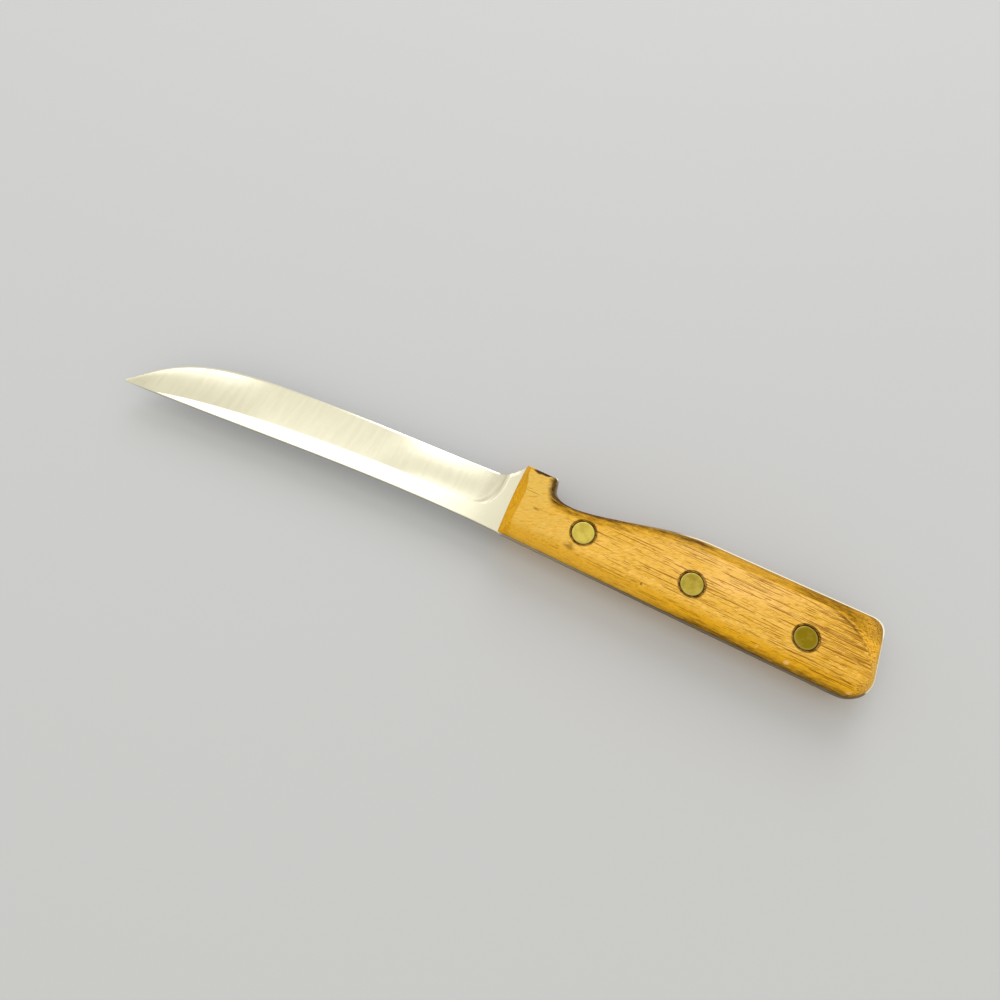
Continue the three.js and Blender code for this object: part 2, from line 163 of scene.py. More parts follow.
class KnifeHandleSizes(bpy.types.PropertyGroup):
    """Sizes of the tang and of the wooden scales."""

    handle_length: length("Handle length", "Front of the handle to the butt", 112)
    butt_height: length("Butt height", "Width of the handle at the butt", 25.6)
    butt_rake: angle("Butt rake", "How far the butt leans forward", 6)
    spine_corner: length("Spine corner", "Radius between the spine and the butt", 8)
    belly_corner: length("Belly corner", "Rounding between the butt and the belly", 4)
    swell_height: length("Swell height", "Width of the handle at the palm swell", 24.9)
    swell_run: length("Swell run", "Length of the fall from the swell to the waist", 41.5)
    swell_reach: length("Swell reach", "How far the swell keeps its direction", 13)
    waist_height: length("Waist height", "Width of the handle behind the guard", 16.5)
    waist_reach: length("Waist reach", "How far the waist keeps its direction", 8.5)
    notch_run: length("Notch run", "Foot of the guard to the waist", 6.2)
    notch_reach: length("Notch reach", "How far the notch keeps the direction of the waist", 3.4)
    foot_reach: length("Foot reach", "How far the notch keeps the direction of the guard", 2)
    guard_height: length("Guard height", "Width of the handle at the guard", 23.2)
    guard_length: length("Guard length", "Front of the handle to the rear corner of the guard", 9.4)
    guard_flare: length("Guard flare", "How far the rear wall of the guard leans back", 0.9)
    guard_wall: length("Guard wall", "Height of the rear wall of the guard", 3.6)
    guard_corner: length("Guard corner", "Rounding at the top of the guard", 0.7)
    guard_nose: length("Guard nose", "Steel in front of the scales at the top of the guard", 0.3)
    tang_proud: length("Tang proud", "How far the tang stands out of the wood", 0.4)
    notch_proud: length("Notch proud", "The same behind the guard and along the waist", 0.25)
    scale_thickness: length("Scale thickness", "Thickness of each scale", 7)
    front_bevel: length("Front bevel", "Length of the bevel at the front of each scale", 3)
    bevel_break: length("Bevel break", "Spine to where the bevel starts to narrow towards the guard", 11)
    bevel_top: length("Bevel top", "Spine to where it has run out", 18.2)
    front_lean: length("Front lean", "How far the foot of the bevel leans forward at the guard", 1.1)
    bevel_blend: length("Bevel blend", "Length over which the edges turn into the front bevel", 7)
    round_spine: length("Spine rounding", "Width of the rounded edge along the spine", 4.2)
    round_butt: length("Butt rounding", "Width of the rounded edge along the butt", 4.2)
    round_belly: length("Belly rounding", "Width of the rounded edge along the belly", 6)
    round_waist: length("Waist rounding", "Width of the rounded edge at the waist", 3.6)
    round_guard: length("Guard rounding", "Width of the rounded edge behind the guard", 1)
    round_top: length("Guard top rounding", "Width of the rounded edge on top of the guard", 3.6)
    flat_rake: angle("Flat rake", "How far the flat face leans forward at the butt", 29)
    flat_spine_corner: length("Flat spine corner", "Corner of the flat face at the spine", 3)
    flat_belly_corner: length("Flat belly corner", "Corner of the flat face at the belly, along the butt", 12)
    flat_belly_run: length("Flat belly run", "That corner along the belly", 9)
    flat_guard_corner: length("Flat guard corner", "Corner of the flat face at the guard", 0.9)
    round_angle: angle("Round angle", "Turn of a creased edge on either side of its mean slope", 20)


class KnifeRivetSizes(bpy.types.PropertyGroup):
    """Sizes of the two-piece rivets."""

    front_place: length("Front rivet", "Front of the handle to the front rivet", 22.9)
    rear_place: length("Rear rivet", "Rear rivet to the butt", 22.8)
    height: length("Rivet height", "Spine to the rivets", 9)
    head_diameter: length("Head", "Diameter of a head", 6.7)
    head_thickness: length("Head thickness", "Thickness of a head", 2)
    head_round: length("Head rounding", "Rounding of the rim of a head", 0.35)
    head_dish: length("Head dish", "How far the middle of a head is worn hollow", 0.06)
    head_recess: length("Head recess", "How far a head lies below the flat of the scale", 0.1)
    head_gap: length("Head gap", "Ring of dirt between a head and the wood", 0.6)
    head_groove: length("Head groove", "Depth of that ring", 0.2)
    post_diameter: length("Post", "Diameter of the post", 3.2)
    post_fit: length("Post fit", "Clearance of the post in its sleeve", 0.1)
    post_end_gap: length("Post end gap", "Air between the post and the floor of the sleeve", 1.5)
    sleeve_wall: length("Sleeve wall", "Wall of the sleeve", 0.7)
    sleeve_floor: length("Sleeve floor", "Brass between the seat of the head and the bore", 1)
    sleeve_end_gap: length("Sleeve end gap", "Air between the sleeve and the other head", 2)
    sleeve_fit: length("Sleeve fit", "Clearance of the sleeve in the handle", 0.1)


class KnifeFinish(bpy.types.PropertyGroup):
    """Colours of the steel, wood and brass."""

    steel: colour("Steel", "Ground steel", 0.77, 0.76, 0.67)
    # Also the painted shade on the spine edge of the tang and ahead of the plunge.
    steel_dull_and_shade: colour("Dull steel", "Steel that dirt has dulled", 0.09, 0.065, 0.04)
    # Painted highlight: paler steel that stands in for the glint along the far edge of the tang.
    steel_painted_glint: colour("Bright steel", "Steel that handling has polished", 0.98, 0.96, 0.91)
    wood_pale: colour("Pale wood", "Lighter bands of the wood", 0.795, 0.485, 0.094)
    wood_deep: colour("Deep wood", "Deeper bands of the wood", 0.7, 0.385, 0.035)
    wood_pore: colour("Pores", "Dark pores of the wood", 0.28, 0.105, 0.004)
    # Painted shade: the deeper orange of rounded edges turned away from the lamps.
    wood_shaded: colour("Shaded wood", "Wood that handling has darkened along the edges", 0.88, 0.455, 0.002)
    # Also the painted sheen on the flat.
    wood_worn_and_sheen: colour("Worn wood", "Wood that handling has bleached", 0.9, 0.55, 0.17)
    wood_dry: colour("Dry wood", "Paler wood next to the guard", 0.68, 0.455, 0.105)
    # Also painted shade along the spine, on the far edges and on the front bevel.
    wood_stain_and_shade: colour("Stain", "Old dirt in the notch and along the edges", 0.055, 0.019, 0.0)
    brass: colour("Brass", "Clean brass", 0.58, 0.475, 0.1)
    # Painted highlight: a paler ring that stands in for the glint on the rounded rim of each head.
    brass_painted_glint: colour("Pale brass", "Brass rubbed bright round the rim", 0.6, 0.53, 0.22)
    brass_dull: colour("Dull brass", "Tarnished brass", 0.25, 0.18, 0.008)


class KnifeStage(bpy.types.PropertyGroup):
    """Camera, floor and lights."""

    aim: place("Aim", "Point in the middle of the picture", 0.00317, 0.0032, 0.0)
    azimuth: angle("Azimuth", "Turn of the view about the vertical", 26.6)
    elevation: angle("Elevation", "Height of the view above the horizon", 71)
    distance: length("Distance", "Camera to the aim", 229.8)
    lens: share("Lens", "Focal length in mm, for the width of the frame", 26.64)
    frame_width: share("Frame width", "Width of the camera's frame in mm", 36)
    near_clip: length("Near clip", "Nearest distance that the camera shows", 10)
    floor_size: length("Floor", "Side of the square floor", 4000)
    floor_drop: length("Floor drop", "Air between the knife and the floor", 0.1)
    floor_colour: colour("Floor colour", "Pale floor", 0.52, 0.545, 0.64)
    room_colour: colour("Room colour", "Soft light from the whole room", 0.97, 0.92, 0.75)
    room_light: share("Room light", "Strength of the room light", 1.0)
    lamp_colour: colour("Lamp colour", "Light of the strip and of the window", 1.0, 0.985, 0.94)
    strip_place: place("Strip place", "Middle of the strip that the blade mirrors", -0.338, 0.159, 0.6)
    strip_turn: angle("Strip turn", "Turn of the strip about the vertical", 9.5)
    strip_length: length("Strip length", "Length of the light strip", 425)
    strip_width: length("Strip width", "Width of the light strip", 104)
    strip_power: share("Strip power", "Power of the light strip in watts", 0.21)
    window_place: place("Window place", "Middle of the soft light on the far side", -0.15, 0.95, 0.75)
    window_size: length("Window size", "Side of that light", 700)
    window_power: share("Window power", "Power of that light in watts", 4.2)


def sizes(context):
    """The settings of the steel, of the handle and of the rivets."""
    scene = context.scene
    return scene.knife_blade, scene.knife_handle, scene.knife_rivet


# Curves


def bezier(corners, steps):
    """Points of a Bezier curve: the Bernstein weights of t times the corners, at steps + 1 values of t."""
    corners = np.asarray(corners, float)
    degree = len(corners) - 1
    t = np.linspace(0.0, 1.0, steps + 1)[:, None]
    powers = np.arange(degree + 1)
    counts = np.array([math.comb(degree, i) for i in powers])
    return (counts * t**powers * (1.0 - t) ** (degree - powers)) @ corners


def towards(start, end, distance):
    """The point at a distance from start on the line to end."""
    start = np.asarray(start, float)
    step = np.asarray(end, float) - start
    return start + step * distance / np.hypot(*step)


def over(points, x):
    """Height of a curve at x, from points of rising x, carried on straight past both ends."""
    inside = np.interp(x, points[:, 0], points[:, 1])
    first = (points[1, 1] - points[0, 1]) / (points[1, 0] - points[0, 0])
    last = (points[-1, 1] - points[-2, 1]) / (points[-1, 0] - points[-2, 0])
    before = np.minimum(x - points[0, 0], 0.0)
    after = np.maximum(x - points[-1, 0], 0.0)
    return inside + first * before + last * after


def distances(x, y, line):
    """Distance of each point from each point of a line, with a row for each point."""
    return np.hypot(x[:, None] - line[:, 0], y[:, None] - line[:, 1])


def smooth(low, high, value):
    """Smooth step from 0 at low to 1 at high: 3t^2 - 2t^3."""
    t = np.clip((value - low) / (high - low), 0.0, 1.0)
    return t * t * (3.0 - 2.0 * t)


def band(value, start, full, last=None, end=None):
    """Smooth step from 0 at start to 1 at full and, where an end is given, from 1 at last back to 0."""
    risen = smooth(start, full, value)
    return risen if end is None else risen * smooth(end, last, value)


def mask(measures, strength, **bands):
    """A strength times the smooth band of each measure that is named."""
    for name, limits in bands.items():
        strength = strength * band(measures[name], *limits)
    return strength


# Outline of the handle


class Inset(NamedTuple):
    """How far each side of an outline lies inside the outline of the tang, its lean at the butt, its corners.

    belly_corner is measured along the butt, and belly_run along the belly.
    """

    front: float
    spine: float
    butt: float
    belly: float
    waist: float
    guard: float
    top: float
    rake: float
    spine_corner: float
    belly_corner: float
    belly_run: float
    guard_corner: float


# Steps along the far side of the handle, from the front: top of the guard, its corner, its rear wall,
# the notch, the waist, the belly, and the corner to the butt.
FAR_STEPS = (14, 8, 8, 26, 64, 64, 18)
CORNER_STEPS = FAR_STEPS[-1]

# Distances from the spine past which a point belongs to the far half, at the waist and at the belly
FAR_HALF = 10 * MM
BELLY_HALF = 12 * MM


def edge_inset(handle, inset):
    """The outline of the tang, moved inwards all round except at the front."""
    return Inset(
        0.0,
        *[inset] * 6,
        handle.butt_rake,
        handle.spine_corner - inset,
        handle.belly_corner,
        handle.belly_corner,
        handle.guard_corner,
    )


def tang_sides(handle):
    """Both sides of the tang itself."""
    return handle_sides(handle, edge_inset(handle, 0.0))


def wood_sides(handle):
    """Both sides of the wood where it lies on the tang."""
    notch = handle.notch_proud
    return handle_sides(handle, edge_inset(handle, handle.tang_proud)._replace(waist=notch, guard=notch))


def flat_sides(handle):
    """Both sides of the flat face of a scale."""
    flat = Inset(
        handle.front_bevel,
        handle.round_spine,
        handle.round_butt,
        handle.round_belly,
        handle.round_waist,
        handle.round_guard,
        handle.round_top,
        handle.flat_rake,
        handle.flat_spine_corner,
        handle.flat_belly_corner,
        handle.flat_belly_run,
        handle.flat_guard_corner,
    )
    return handle_sides(handle, flat)


def handle_sides(handle, inset):
    """Matching points along the spine side and the far side of the handle, both from the front to the butt.

    The far side joins a line, a quadratic corner, a line, two cubic curves, a line and a quadratic corner.
    The spine side is a line with points under those of the far side, and then a circular corner.
    """
    rake = inset.rake
    waist_x = handle.guard_length + handle.guard_flare + handle.notch_run
    hub = np.array([handle.handle_length - inset.butt - inset.spine_corner, inset.spine + inset.spine_corner])
    swell = np.array([waist_x + handle.swell_run, handle.swell_height - inset.belly])
    waist = np.array([waist_x, handle.waist_height - inset.waist])
    guard = np.array([handle.guard_length - inset.guard, handle.guard_height - inset.top])
    foot = guard + (handle.guard_flare, -handle.guard_wall)
    butt_start = hub + inset.spine_corner * np.array([math.cos(rake), math.sin(rake)])
    butt_top = handle.butt_height - inset.belly
    butt = np.array([butt_start[0] - (butt_top - butt_start[1]) * math.tan(rake), butt_top])

    wall_top = towards(guard, foot, inset.guard_corner)
    guard_end = guard - (inset.guard_corner, 0.0)
    past_foot = towards(foot, guard, -handle.foot_reach)
    belly_end = towards(butt, swell, inset.belly_run)
    pieces = (
        [(inset.front, guard[1]), guard_end],
        [guard_end, guard, wall_top],
        [wall_top, foot],
        [foot, past_foot, waist - (handle.notch_reach, 0.0), waist],
        [waist, waist + (handle.waist_reach, 0.0), swell - (handle.swell_reach, 0.0), swell],
        [swell, belly_end],
        [belly_end, butt, towards(butt, butt_start, inset.belly_corner)],
    )
    curves = [bezier(corners, steps) for corners, steps in zip(pieces, FAR_STEPS)]
    far = np.vstack([curves[0]] + [curve[1:] for curve in curves[1:]])

    run = far[:-CORNER_STEPS, 0]
    along = (run - run[0]) / (run[-1] - run[0])
    line = np.column_stack([inset.front + along * (hub[0] - inset.front), np.full(len(run), inset.spine)])
    turn = np.linspace(-math.pi / 2, rake, CORNER_STEPS + 1)[1:]
    corner = hub + inset.spine_corner * np.column_stack([np.cos(turn), np.sin(turn)])
    return np.vstack([line, corner]), far


# Meshes

# Sides of a shape that is turned about an axis
SIDES = 96


def origin(blade):
    """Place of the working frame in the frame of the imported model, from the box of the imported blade."""
    low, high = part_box("blade")
    return np.array((low.x + blade.blade_length, low.y + blade.tip_sweep, (low.z + high.z) / 2))


def placed(points, blade):
    """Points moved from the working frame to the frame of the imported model."""
    return points + origin(blade)


def working_points(piece, blade):
    """The points of a piece in the working frame, as arrays of x, y and z."""
    points = np.empty(len(piece.data.vertices) * 3, np.float32)
    piece.data.vertices.foreach_get("co", points)
    return (points.reshape(-1, 3) - origin(blade)).T


def linked(name, data):
    """A new object of the scene."""
    thing = bpy.data.objects.new(name, data)
    bpy.context.scene.collection.objects.link(thing)
    return thing


def grid_faces(rows, columns, start):
    """Quads of a grid of points that are numbered row by row from start."""
    corner = start + np.arange(rows - 1)[:, None] * columns + np.arange(columns - 1)
    return np.stack([corner, corner + 1, corner + columns + 1, corner + columns], -1).reshape(-1, 4)


def grid_mesh(name, grids):
    """A mesh of the quads of some grids of points."""
    starts = np.cumsum([0] + [grid.shape[0] * grid.shape[1] for grid in grids])
    points = np.vstack([grid.reshape(-1, 3) for grid in grids])
    faces = np.vstack([grid_faces(*grid.shape[:2], start) for grid, start in zip(grids, starts)])
    mesh = bpy.data.meshes.new(name)
    mesh.from_pydata(points.tolist(), [], faces.tolist())
    return mesh


def border(work):
    """The edges of a mesh that have a face on one side only."""
    return [edge for edge in work.edges if edge.is_boundary]


def write_closed(work, mesh):
    """Writes edited faces back to a mesh. They have to enclose a volume."""
    open_edges = sum(1 for edge in work.edges if not edge.is_manifold)
    if open_edges:
        raise RuntimeError(f"{mesh.name} is not closed: {open_edges} open edges")
    work.to_mesh(mesh)
    work.free()


def welded_piece(name, grids, fill=False):
    """One closed mesh object from grids of points that share their borders, with its faces turned outwards.

    fill closes the one border that is left open with a flat face.
    """
    mesh = grid_mesh(name, grids)
    work = bmesh.new()
    work.from_mesh(mesh)
    bmesh.ops.remove_doubles(work, verts=work.verts, dist=WELD)
    bmesh.ops.dissolve_degenerate(work, edges=work.edges, dist=SLIVER)
    if fill:
        bmesh.ops.holes_fill(work, edges=border(work))
    bmesh.ops.recalc_face_normals(work, faces=work.faces)
    write_closed(work, mesh)
    return linked(name, mesh)


def turned_grid(profile):
    """A profile of (radius, height) points carried round Z: x = r cos a, y = r sin a."""
    profile = np.asarray(profile, float)
    turn = np.linspace(0.0, 2.0 * math.pi, SIDES + 1)
    turn[-1] = 0.0
    radius = profile[:, :1]
    height = np.broadcast_to(profile[:, 1:], (len(profile), SIDES + 1))
    return np.stack([radius * np.cos(turn), radius * np.sin(turn), height], -1)


def drilled(piece, profile, places, blade):
    """Cuts the turned profile out of a piece at each place, and keeps only the resulting mesh.

    Slits and slivers that the cuts leave round a hole are closed, and the faces become triangles.
    """
    grid = turned_grid(profile)
    for number, axis in enumerate(places):
        tool = welded_piece(f"drill_{number}", [placed(grid + np.array(axis), blade)])
        cut = piece.modifiers.new("drill", "BOOLEAN")
        cut.operation = "DIFFERENCE"
        cut.solver = "EXACT"
        cut.object = tool
        bpy.context.view_layer.update()
        graph = bpy.context.evaluated_depsgraph_get()
        mesh = bpy.data.meshes.new_from_object(piece.evaluated_get(graph))
        piece.modifiers.clear()
        worn_out = piece.data
        piece.data = mesh
        mesh.name = piece.name
        bpy.data.meshes.remove(worn_out)
        bpy.data.objects.remove(tool)
    work = bmesh.new()
    work.from_mesh(piece.data)
    bmesh.ops.holes_fill(work, edges=border(work), sides=3)
    bmesh.ops.dissolve_degenerate(work, edges=work.edges, dist=DRILLED_SLIVER)
    bmesh.ops.triangulate(work, faces=work.faces, quad_method="BEAUTY", ngon_method="BEAUTY")
    write_closed(work, piece.data)


def store(piece, name, *marks):
    """Keeps the strongest of some marks on each point of a mesh, as an attribute that a material can read."""
    attribute = piece.data.attributes.new(name, "FLOAT", "POINT")
    attribute.data.foreach_set("value", np.max(marks, axis=0).astype(np.float32))


def finished(piece, material, node, slot):
    """Gives a piece its shading and material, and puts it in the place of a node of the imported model."""
    piece.data.shade_smooth()
    piece.data.set_sharp_from_angle(angle=math.radians(SMOOTH_TURN[slot]))
    piece.data.materials.clear()
    piece.data.materials.append(material)
    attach(piece, BODY)
    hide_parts(node)


# Materials

# Turn of the slanted figure of the wood, in radians
FIGURE_TURN = -0.45

# Share of its half sizes within which a spot keeps its strength
SPOT_CORE = 0.3

# Spots on the wood: place along and across the handle, depth below the flat, half sizes, all in millimetres,
# and strength. Marks and mottled blotches are dark and lie on the flat. Chips are pale and lie at the spine.
MARKS = (
    ((43.4, 2.8, 0.0), (0.6, 0.55, 2.0), 0.7),
    ((41.0, 2.7, 0.0), (2.2, 0.4, 2.0), 0.4),
    ((8.0, 9.3, 0.0), (1.4, 0.5, 2.0), 0.4),
    ((3.9, 19.9, 0.0), (1.3, 0.8, 2.0), 0.9),
)
BLOTCHES = (((20.9, 3.7, 0.0), (2.6, 1.6, 2.0), 0.5),)
CHIPS = (
    ((87.4, 1.0, 2.9), (1.1, 1.1, 1.6), 1.0),
    ((78.5, 1.5, 2.0), (0.6, 0.8, 1.2), 0.6),
    ((105.3, 0.9, 3.4), (1.1, 0.9, 1.4), 0.8),
)


def arithmetic(operation, reflected=False):
    """A method of Socket that adds a Math node for a socket and another value."""

    def method(self, other):
        values = (other, self) if reflected else (self, other)
        return self.finish.add("ShaderNodeMath", {"operation": operation}, dict(enumerate(values)))

    return method


class Socket:
    """An output of a node. Arithmetic on it adds Math nodes to its material."""

    def __init__(self, finish, output):
        self.finish = finish
        self.output = output

    __add__ = arithmetic("ADD")
    __radd__ = arithmetic("ADD", reflected=True)
    __sub__ = arithmetic("SUBTRACT")
    __rsub__ = arithmetic("SUBTRACT", reflected=True)
    __mul__ = arithmetic("MULTIPLY")
    __rmul__ = arithmetic("MULTIPLY", reflected=True)
    at_least = arithmetic("MAXIMUM")


class Finish:
    """A node material with one Principled shader."""

    def __init__(self, name):
        self.material = bpy.data.materials.new(name)
        self.material.use_nodes = True
        self.tree = self.material.node_tree
        self.tree.nodes.clear()
        self.shader = self.tree.nodes.new("ShaderNodeBsdfPrincipled")
        output = self.tree.nodes.new("ShaderNodeOutputMaterial")
        self.tree.links.new(self.shader.outputs[0], output.inputs["Surface"])

    def add(self, kind, settings=None, inputs=None, output=0):
        """Adds a node: its settings first, then the values or links of its sockets. Returns one output."""
        node = self.tree.nodes.new(kind)
        for name, value in (settings or {}).items():
            setattr(node, name, value)
        self.feed(node, inputs or {})
        return Socket(self, node.outputs[output])

    def feed(self, node, inputs):
        """Sets or links the sockets of a node."""
        for name, value in inputs.items():
            if isinstance(value, Socket):
                self.tree.links.new(value.output, node.inputs[name])
            else:
                node.inputs[name].default_value = value

    def shade(self, **inputs):
        """Sets or links the sockets of the shader, with _ for a space in a name."""
        self.feed(self.shader, {name.replace("_", " "): value for name, value in inputs.items()})

    def mapped(self, vector, **inputs):
        """Coordinates that a Mapping node scales, turns and moves."""
        return self.add("ShaderNodeMapping", None, {"Vector": vector, **inputs})

    def millimetres(self, blade):
        """Object coordinates in millimetres of the working frame."""
        here = self.add("ShaderNodeTexCoord", output="Object")
        return self.mapped(here, Location=tuple(-origin(blade) / MM), Scale=(1.0 / MM,) * 3)

    def attribute(self, name):
        """A number kept on the points of the mesh."""
        return self.add("ShaderNodeAttribute", {"attribute_name": name}, None, "Fac")

    def noise(self, vector, along, across, detail, rough, offset=(0.0, 0.0, 0.0)):
        """Noise whose features have the given sizes along X and across it, in millimetres."""
        stretched = self.mapped(vector, Location=offset, Scale=(1.0 / along, 1.0 / across, 1.0 / across))
        inputs = {"Vector": stretched, "Scale": 1.0, "Detail": detail, "Roughness": rough}
        return self.add("ShaderNodeTexNoise", {"noise_dimensions": "3D"}, inputs)

    def ramp(self, value, low, high, most=1.0):
        """A smooth step from 0 at low to most at high. low may be above high."""
        settings = {"interpolation_type": "SMOOTHSTEP"}
        inputs = {"Value": value, "From Min": low, "From Max": high, "To Min": 0.0, "To Max": most}
        return self.add("ShaderNodeMapRange", settings, inputs)

    def mix(self, factor, first, second):
        """A colour between two colours."""
        inputs = {"Factor": factor, 6: tint(first), 7: tint(second)}
        return self.add("ShaderNodeMix", {"data_type": "RGBA"}, inputs, 2)

    def spots(self, vector, face, rows):
        """The strongest of some spots. Each falls smoothly from its strength to 0 at its half sizes.

        face is the height of the flat, from which the depths of the spots are measured.
        """
        spots = []
        for (x, y, depth), half_sizes, strength in rows:
            half_sizes = np.array(half_sizes)
            centre = np.array((x, y, face - depth))
            near = self.mapped(vector, Location=tuple(-centre / half_sizes), Scale=tuple(1.0 / half_sizes))
            away = self.add("ShaderNodeVectorMath", {"operation": "LENGTH"}, {0: near}, "Value")
            spots.append(self.ramp(away, 1.0, SPOT_CORE, strength))
        return reduce(Socket.at_least, spots)

    def bump(self, height, distance):
        """A normal from a height. distance is what a height of 1 stands for, in metres."""
        return self.add("ShaderNodeBump", None, {"Height": height, "Distance": distance})


def tint(value):
    """A colour as four numbers, or a socket as it is."""
    return value if isinstance(value, Socket) else (*tuple(value)[:3], 1.0)


def steel_finish(blade, finish):
    """Ground steel: lines across the hollow and along the flats, faint clouds, dirt, painted shade, and a
    painted highlight along the edge of the tang.
    """
    steel = Finish("ground_steel")
    here = steel.millimetres(blade)
    ground = steel.attribute("ground")
    grime_and_shade = steel.attribute("grime_and_shade")
    across = steel.noise(here, 0.32, 9.0, 3.0, 0.6)
    coarse = steel.noise(here, 1.6, 14.0, 2.0, 0.5, (3.0, 1.0, 0.0))
    along = steel.noise(here, 22.0, 0.3, 3.0, 0.6)
    cloud = steel.noise(here, 9.0, 3.0, 3.0, 0.55)
    lines = along + (across * 0.65 + coarse * 0.35 - along) * ground
    # dull brings in the dull colour for the clouds, for dirt and for painted shade.
    dull = steel.ramp(cloud, 0.45, 0.8, 0.045) + steel.ramp(coarse, 0.35, 0.7, 0.05) * ground + grime_and_shade
    shade = steel.mix(dull, finish.steel, finish.steel_dull_and_shade)
    steel.shade(
        # Paler steel where the painted highlight lies.
        Base_Color=steel.mix(steel.attribute("bright"), shade, finish.steel_painted_glint),
        Metallic=1.0,
        Roughness=0.12 + cloud * 0.06 + lines * 0.06 + grime_and_shade * 0.3 + steel.attribute("matte") * 0.35,
        Normal=steel.bump(lines, 2.2e-6),
    )
    return steel.material


def wood_finish(blade, handle, finish):
    """Oiled hardwood: bands, fibres and dark pores along the length, a slanted figure, wear and dirt, a
    painted sheen on the flat, and painted shade on the edges and along the spine.

    The colours are laid over each other in the order of the layers, each by its own amount.
    """
    wood = Finish("handle_wood")
    here = wood.millimetres(blade)
    slanted = wood.mapped(here, Rotation=(0.0, 0.0, FIGURE_TURN))
    bands = wood.noise(here, 70.0, 2.6, 3.0, 0.5)
    fibre = wood.noise(here, 9.0, 0.2, 2.0, 0.6)
    broad = wood.noise(here, 24.0, 5.0, 2.0, 0.5, (4.0, 7.0, 2.0))
    mottle = wood.noise(here, 2.6, 0.9, 3.0, 0.6, (1.0, 5.0, 3.0))
    figure = wood.noise(slanted, 3.6, 0.6, 2.0, 0.5, (5.0, 2.0, 8.0))
    speckle = wood.noise(slanted, 1.6, 0.5, 3.0, 0.6, (2.0, 6.0, 4.0))
    fine_pores = wood.noise(here, 5.0, 0.22, 1.0, 0.4, (2.0, 9.0, 5.0))
    long_pores = wood.noise(here, 14.0, 0.26, 1.0, 0.4, (7.0, 3.0, 1.0))
    crowd = wood.attribute("pores") + (broad - 0.5) * 0.12
    pores = wood.ramp(fine_pores + crowd, 0.68, 0.71).at_least(wood.ramp(long_pores + crowd, 0.67, 0.7))
    # The painted edge shade, with a little mottle of pores.
    edge = wood.mix(wood.ramp(mottle, 0.4, 0.75, 0.2), finish.wood_shaded, finish.wood_pore)
    face = (handle.scale_thickness + blade.thickness / 2) / MM
    blotches = wood.spots(here, face, BLOTCHES) * wood.ramp(mottle, 0.3, 0.6)
    patchy = 1.0 + (mottle - 0.5) * 1.2 + (fibre - 0.5) * 0.6 + (bands - 0.5) * 0.4
    # Dirt and painted shade, made patchy.
    stain_and_shade = wood.ramp(wood.attribute("grime_and_shade") * patchy, 0.08, 0.95)
    # Painted light among the layers: the painted sheen lightens the flat, the shaded layer and the layer of
    # dirt and painted shade darken the edges and the spine, and the deep layer is partly painted shade at the
    # rear of the flat.
    layers = (
        (wood.ramp(bands, 0.35, 0.75, 0.6), finish.wood_deep),
        (wood.ramp(fibre, 0.4, 0.8, 0.45), finish.wood_deep),
        (wood.ramp(mottle, 0.42, 0.72, 0.7), finish.wood_deep),
        (wood.attribute("deep") * wood.ramp(mottle, 0.25, 0.55), finish.wood_deep),
        (wood.ramp(figure, 0.5, 0.3, 0.5), finish.wood_deep),
        (wood.ramp(figure, 0.5, 0.75, 0.25), finish.wood_worn_and_sheen),
        (wood.ramp(speckle, 0.48, 0.3, 0.7), finish.wood_worn_and_sheen),
        # Painted sheen on the flat.
        (wood.attribute("painted_sheen") * wood.ramp(broad, 0.25, 0.65), finish.wood_worn_and_sheen),
        (wood.attribute("dry") * wood.ramp(figure, 0.2, 0.7), finish.wood_dry),
        (wood.attribute("shaded"), edge),
        (wood.ramp(speckle, 0.53, 0.74, 0.45).at_least(pores * 0.85), finish.wood_pore),
        (wood.spots(here, face, MARKS).at_least(blotches), finish.wood_stain_and_shade),
        (stain_and_shade, finish.wood_stain_and_shade),
        (wood.spots(here, face, CHIPS), finish.wood_worn_and_sheen),
    )
    shade = finish.wood_pale
    for amount, layer in layers:
        shade = wood.mix(amount, shade, layer)
    wood.shade(
        Base_Color=shade,
        Roughness=0.48 + pores * 0.2 + fibre * 0.1 + stain_and_shade * 0.3,
        IOR=1.3,
        Specular_IOR_Level=0.3,
        Normal=wood.bump(fibre * 0.35 - pores * 0.65, 4.0e-5),
    )
    return wood.material


def brass_finish(blade, finish):
    """Worn brass: cloudy tarnish that differs from rivet to rivet, faint scratches, and a painted highlight
    on the rim.
    """
    brass = Finish("rivet_brass")
    here = brass.millimetres(blade)
    cloud = brass.noise(here, 2.4, 2.4, 4.0, 0.6)
    scratch = brass.noise(here, 2.5, 0.12, 2.0, 0.5)
    dull = brass.ramp(cloud, 0.3, 0.7, 0.45) + brass.attribute("tarnish") - 0.12
    shade = brass.mix(dull, finish.brass, finish.brass_dull)
    brass.shade(
        # Paler brass where the painted highlight lies on the rim.
        Base_Color=brass.mix(brass.attribute("rim") * 0.2, shade, finish.brass_painted_glint),
        Metallic=1.0,
        Roughness=0.3 + cloud * 0.16 + scratch * 0.08,
        Normal=brass.bump(scratch * 0.6 + cloud * 0.4, 8.0e-6),
    )
    return brass.material


# Steel

# Steps along the curves of the blade
SPINE_STEPS = 400
BELLY_STEPS = 300
EDGE_STEPS = 200
FILLET_STEPS = 24
GRIND_STEPS = 300

# Stations along the bare steel: the length of the tip, the room in front of the plunge, and the counts from
# the tip to the run-out of the grind, to the end of the tip, to the plunge and to the handle
TIP_LENGTH = 30 * MM
PLUNGE_ROOM = 2 * MM
STATION_COUNTS = (40, 50, 120, 100)

# Columns across the flat and across the hollow, and the largest shares of the width that their rims take
FLAT_COLUMNS = 13
HOLLOW_COLUMNS = 33
FLAT_RIM = 0.05
HOLLOW_RIM = 0.12

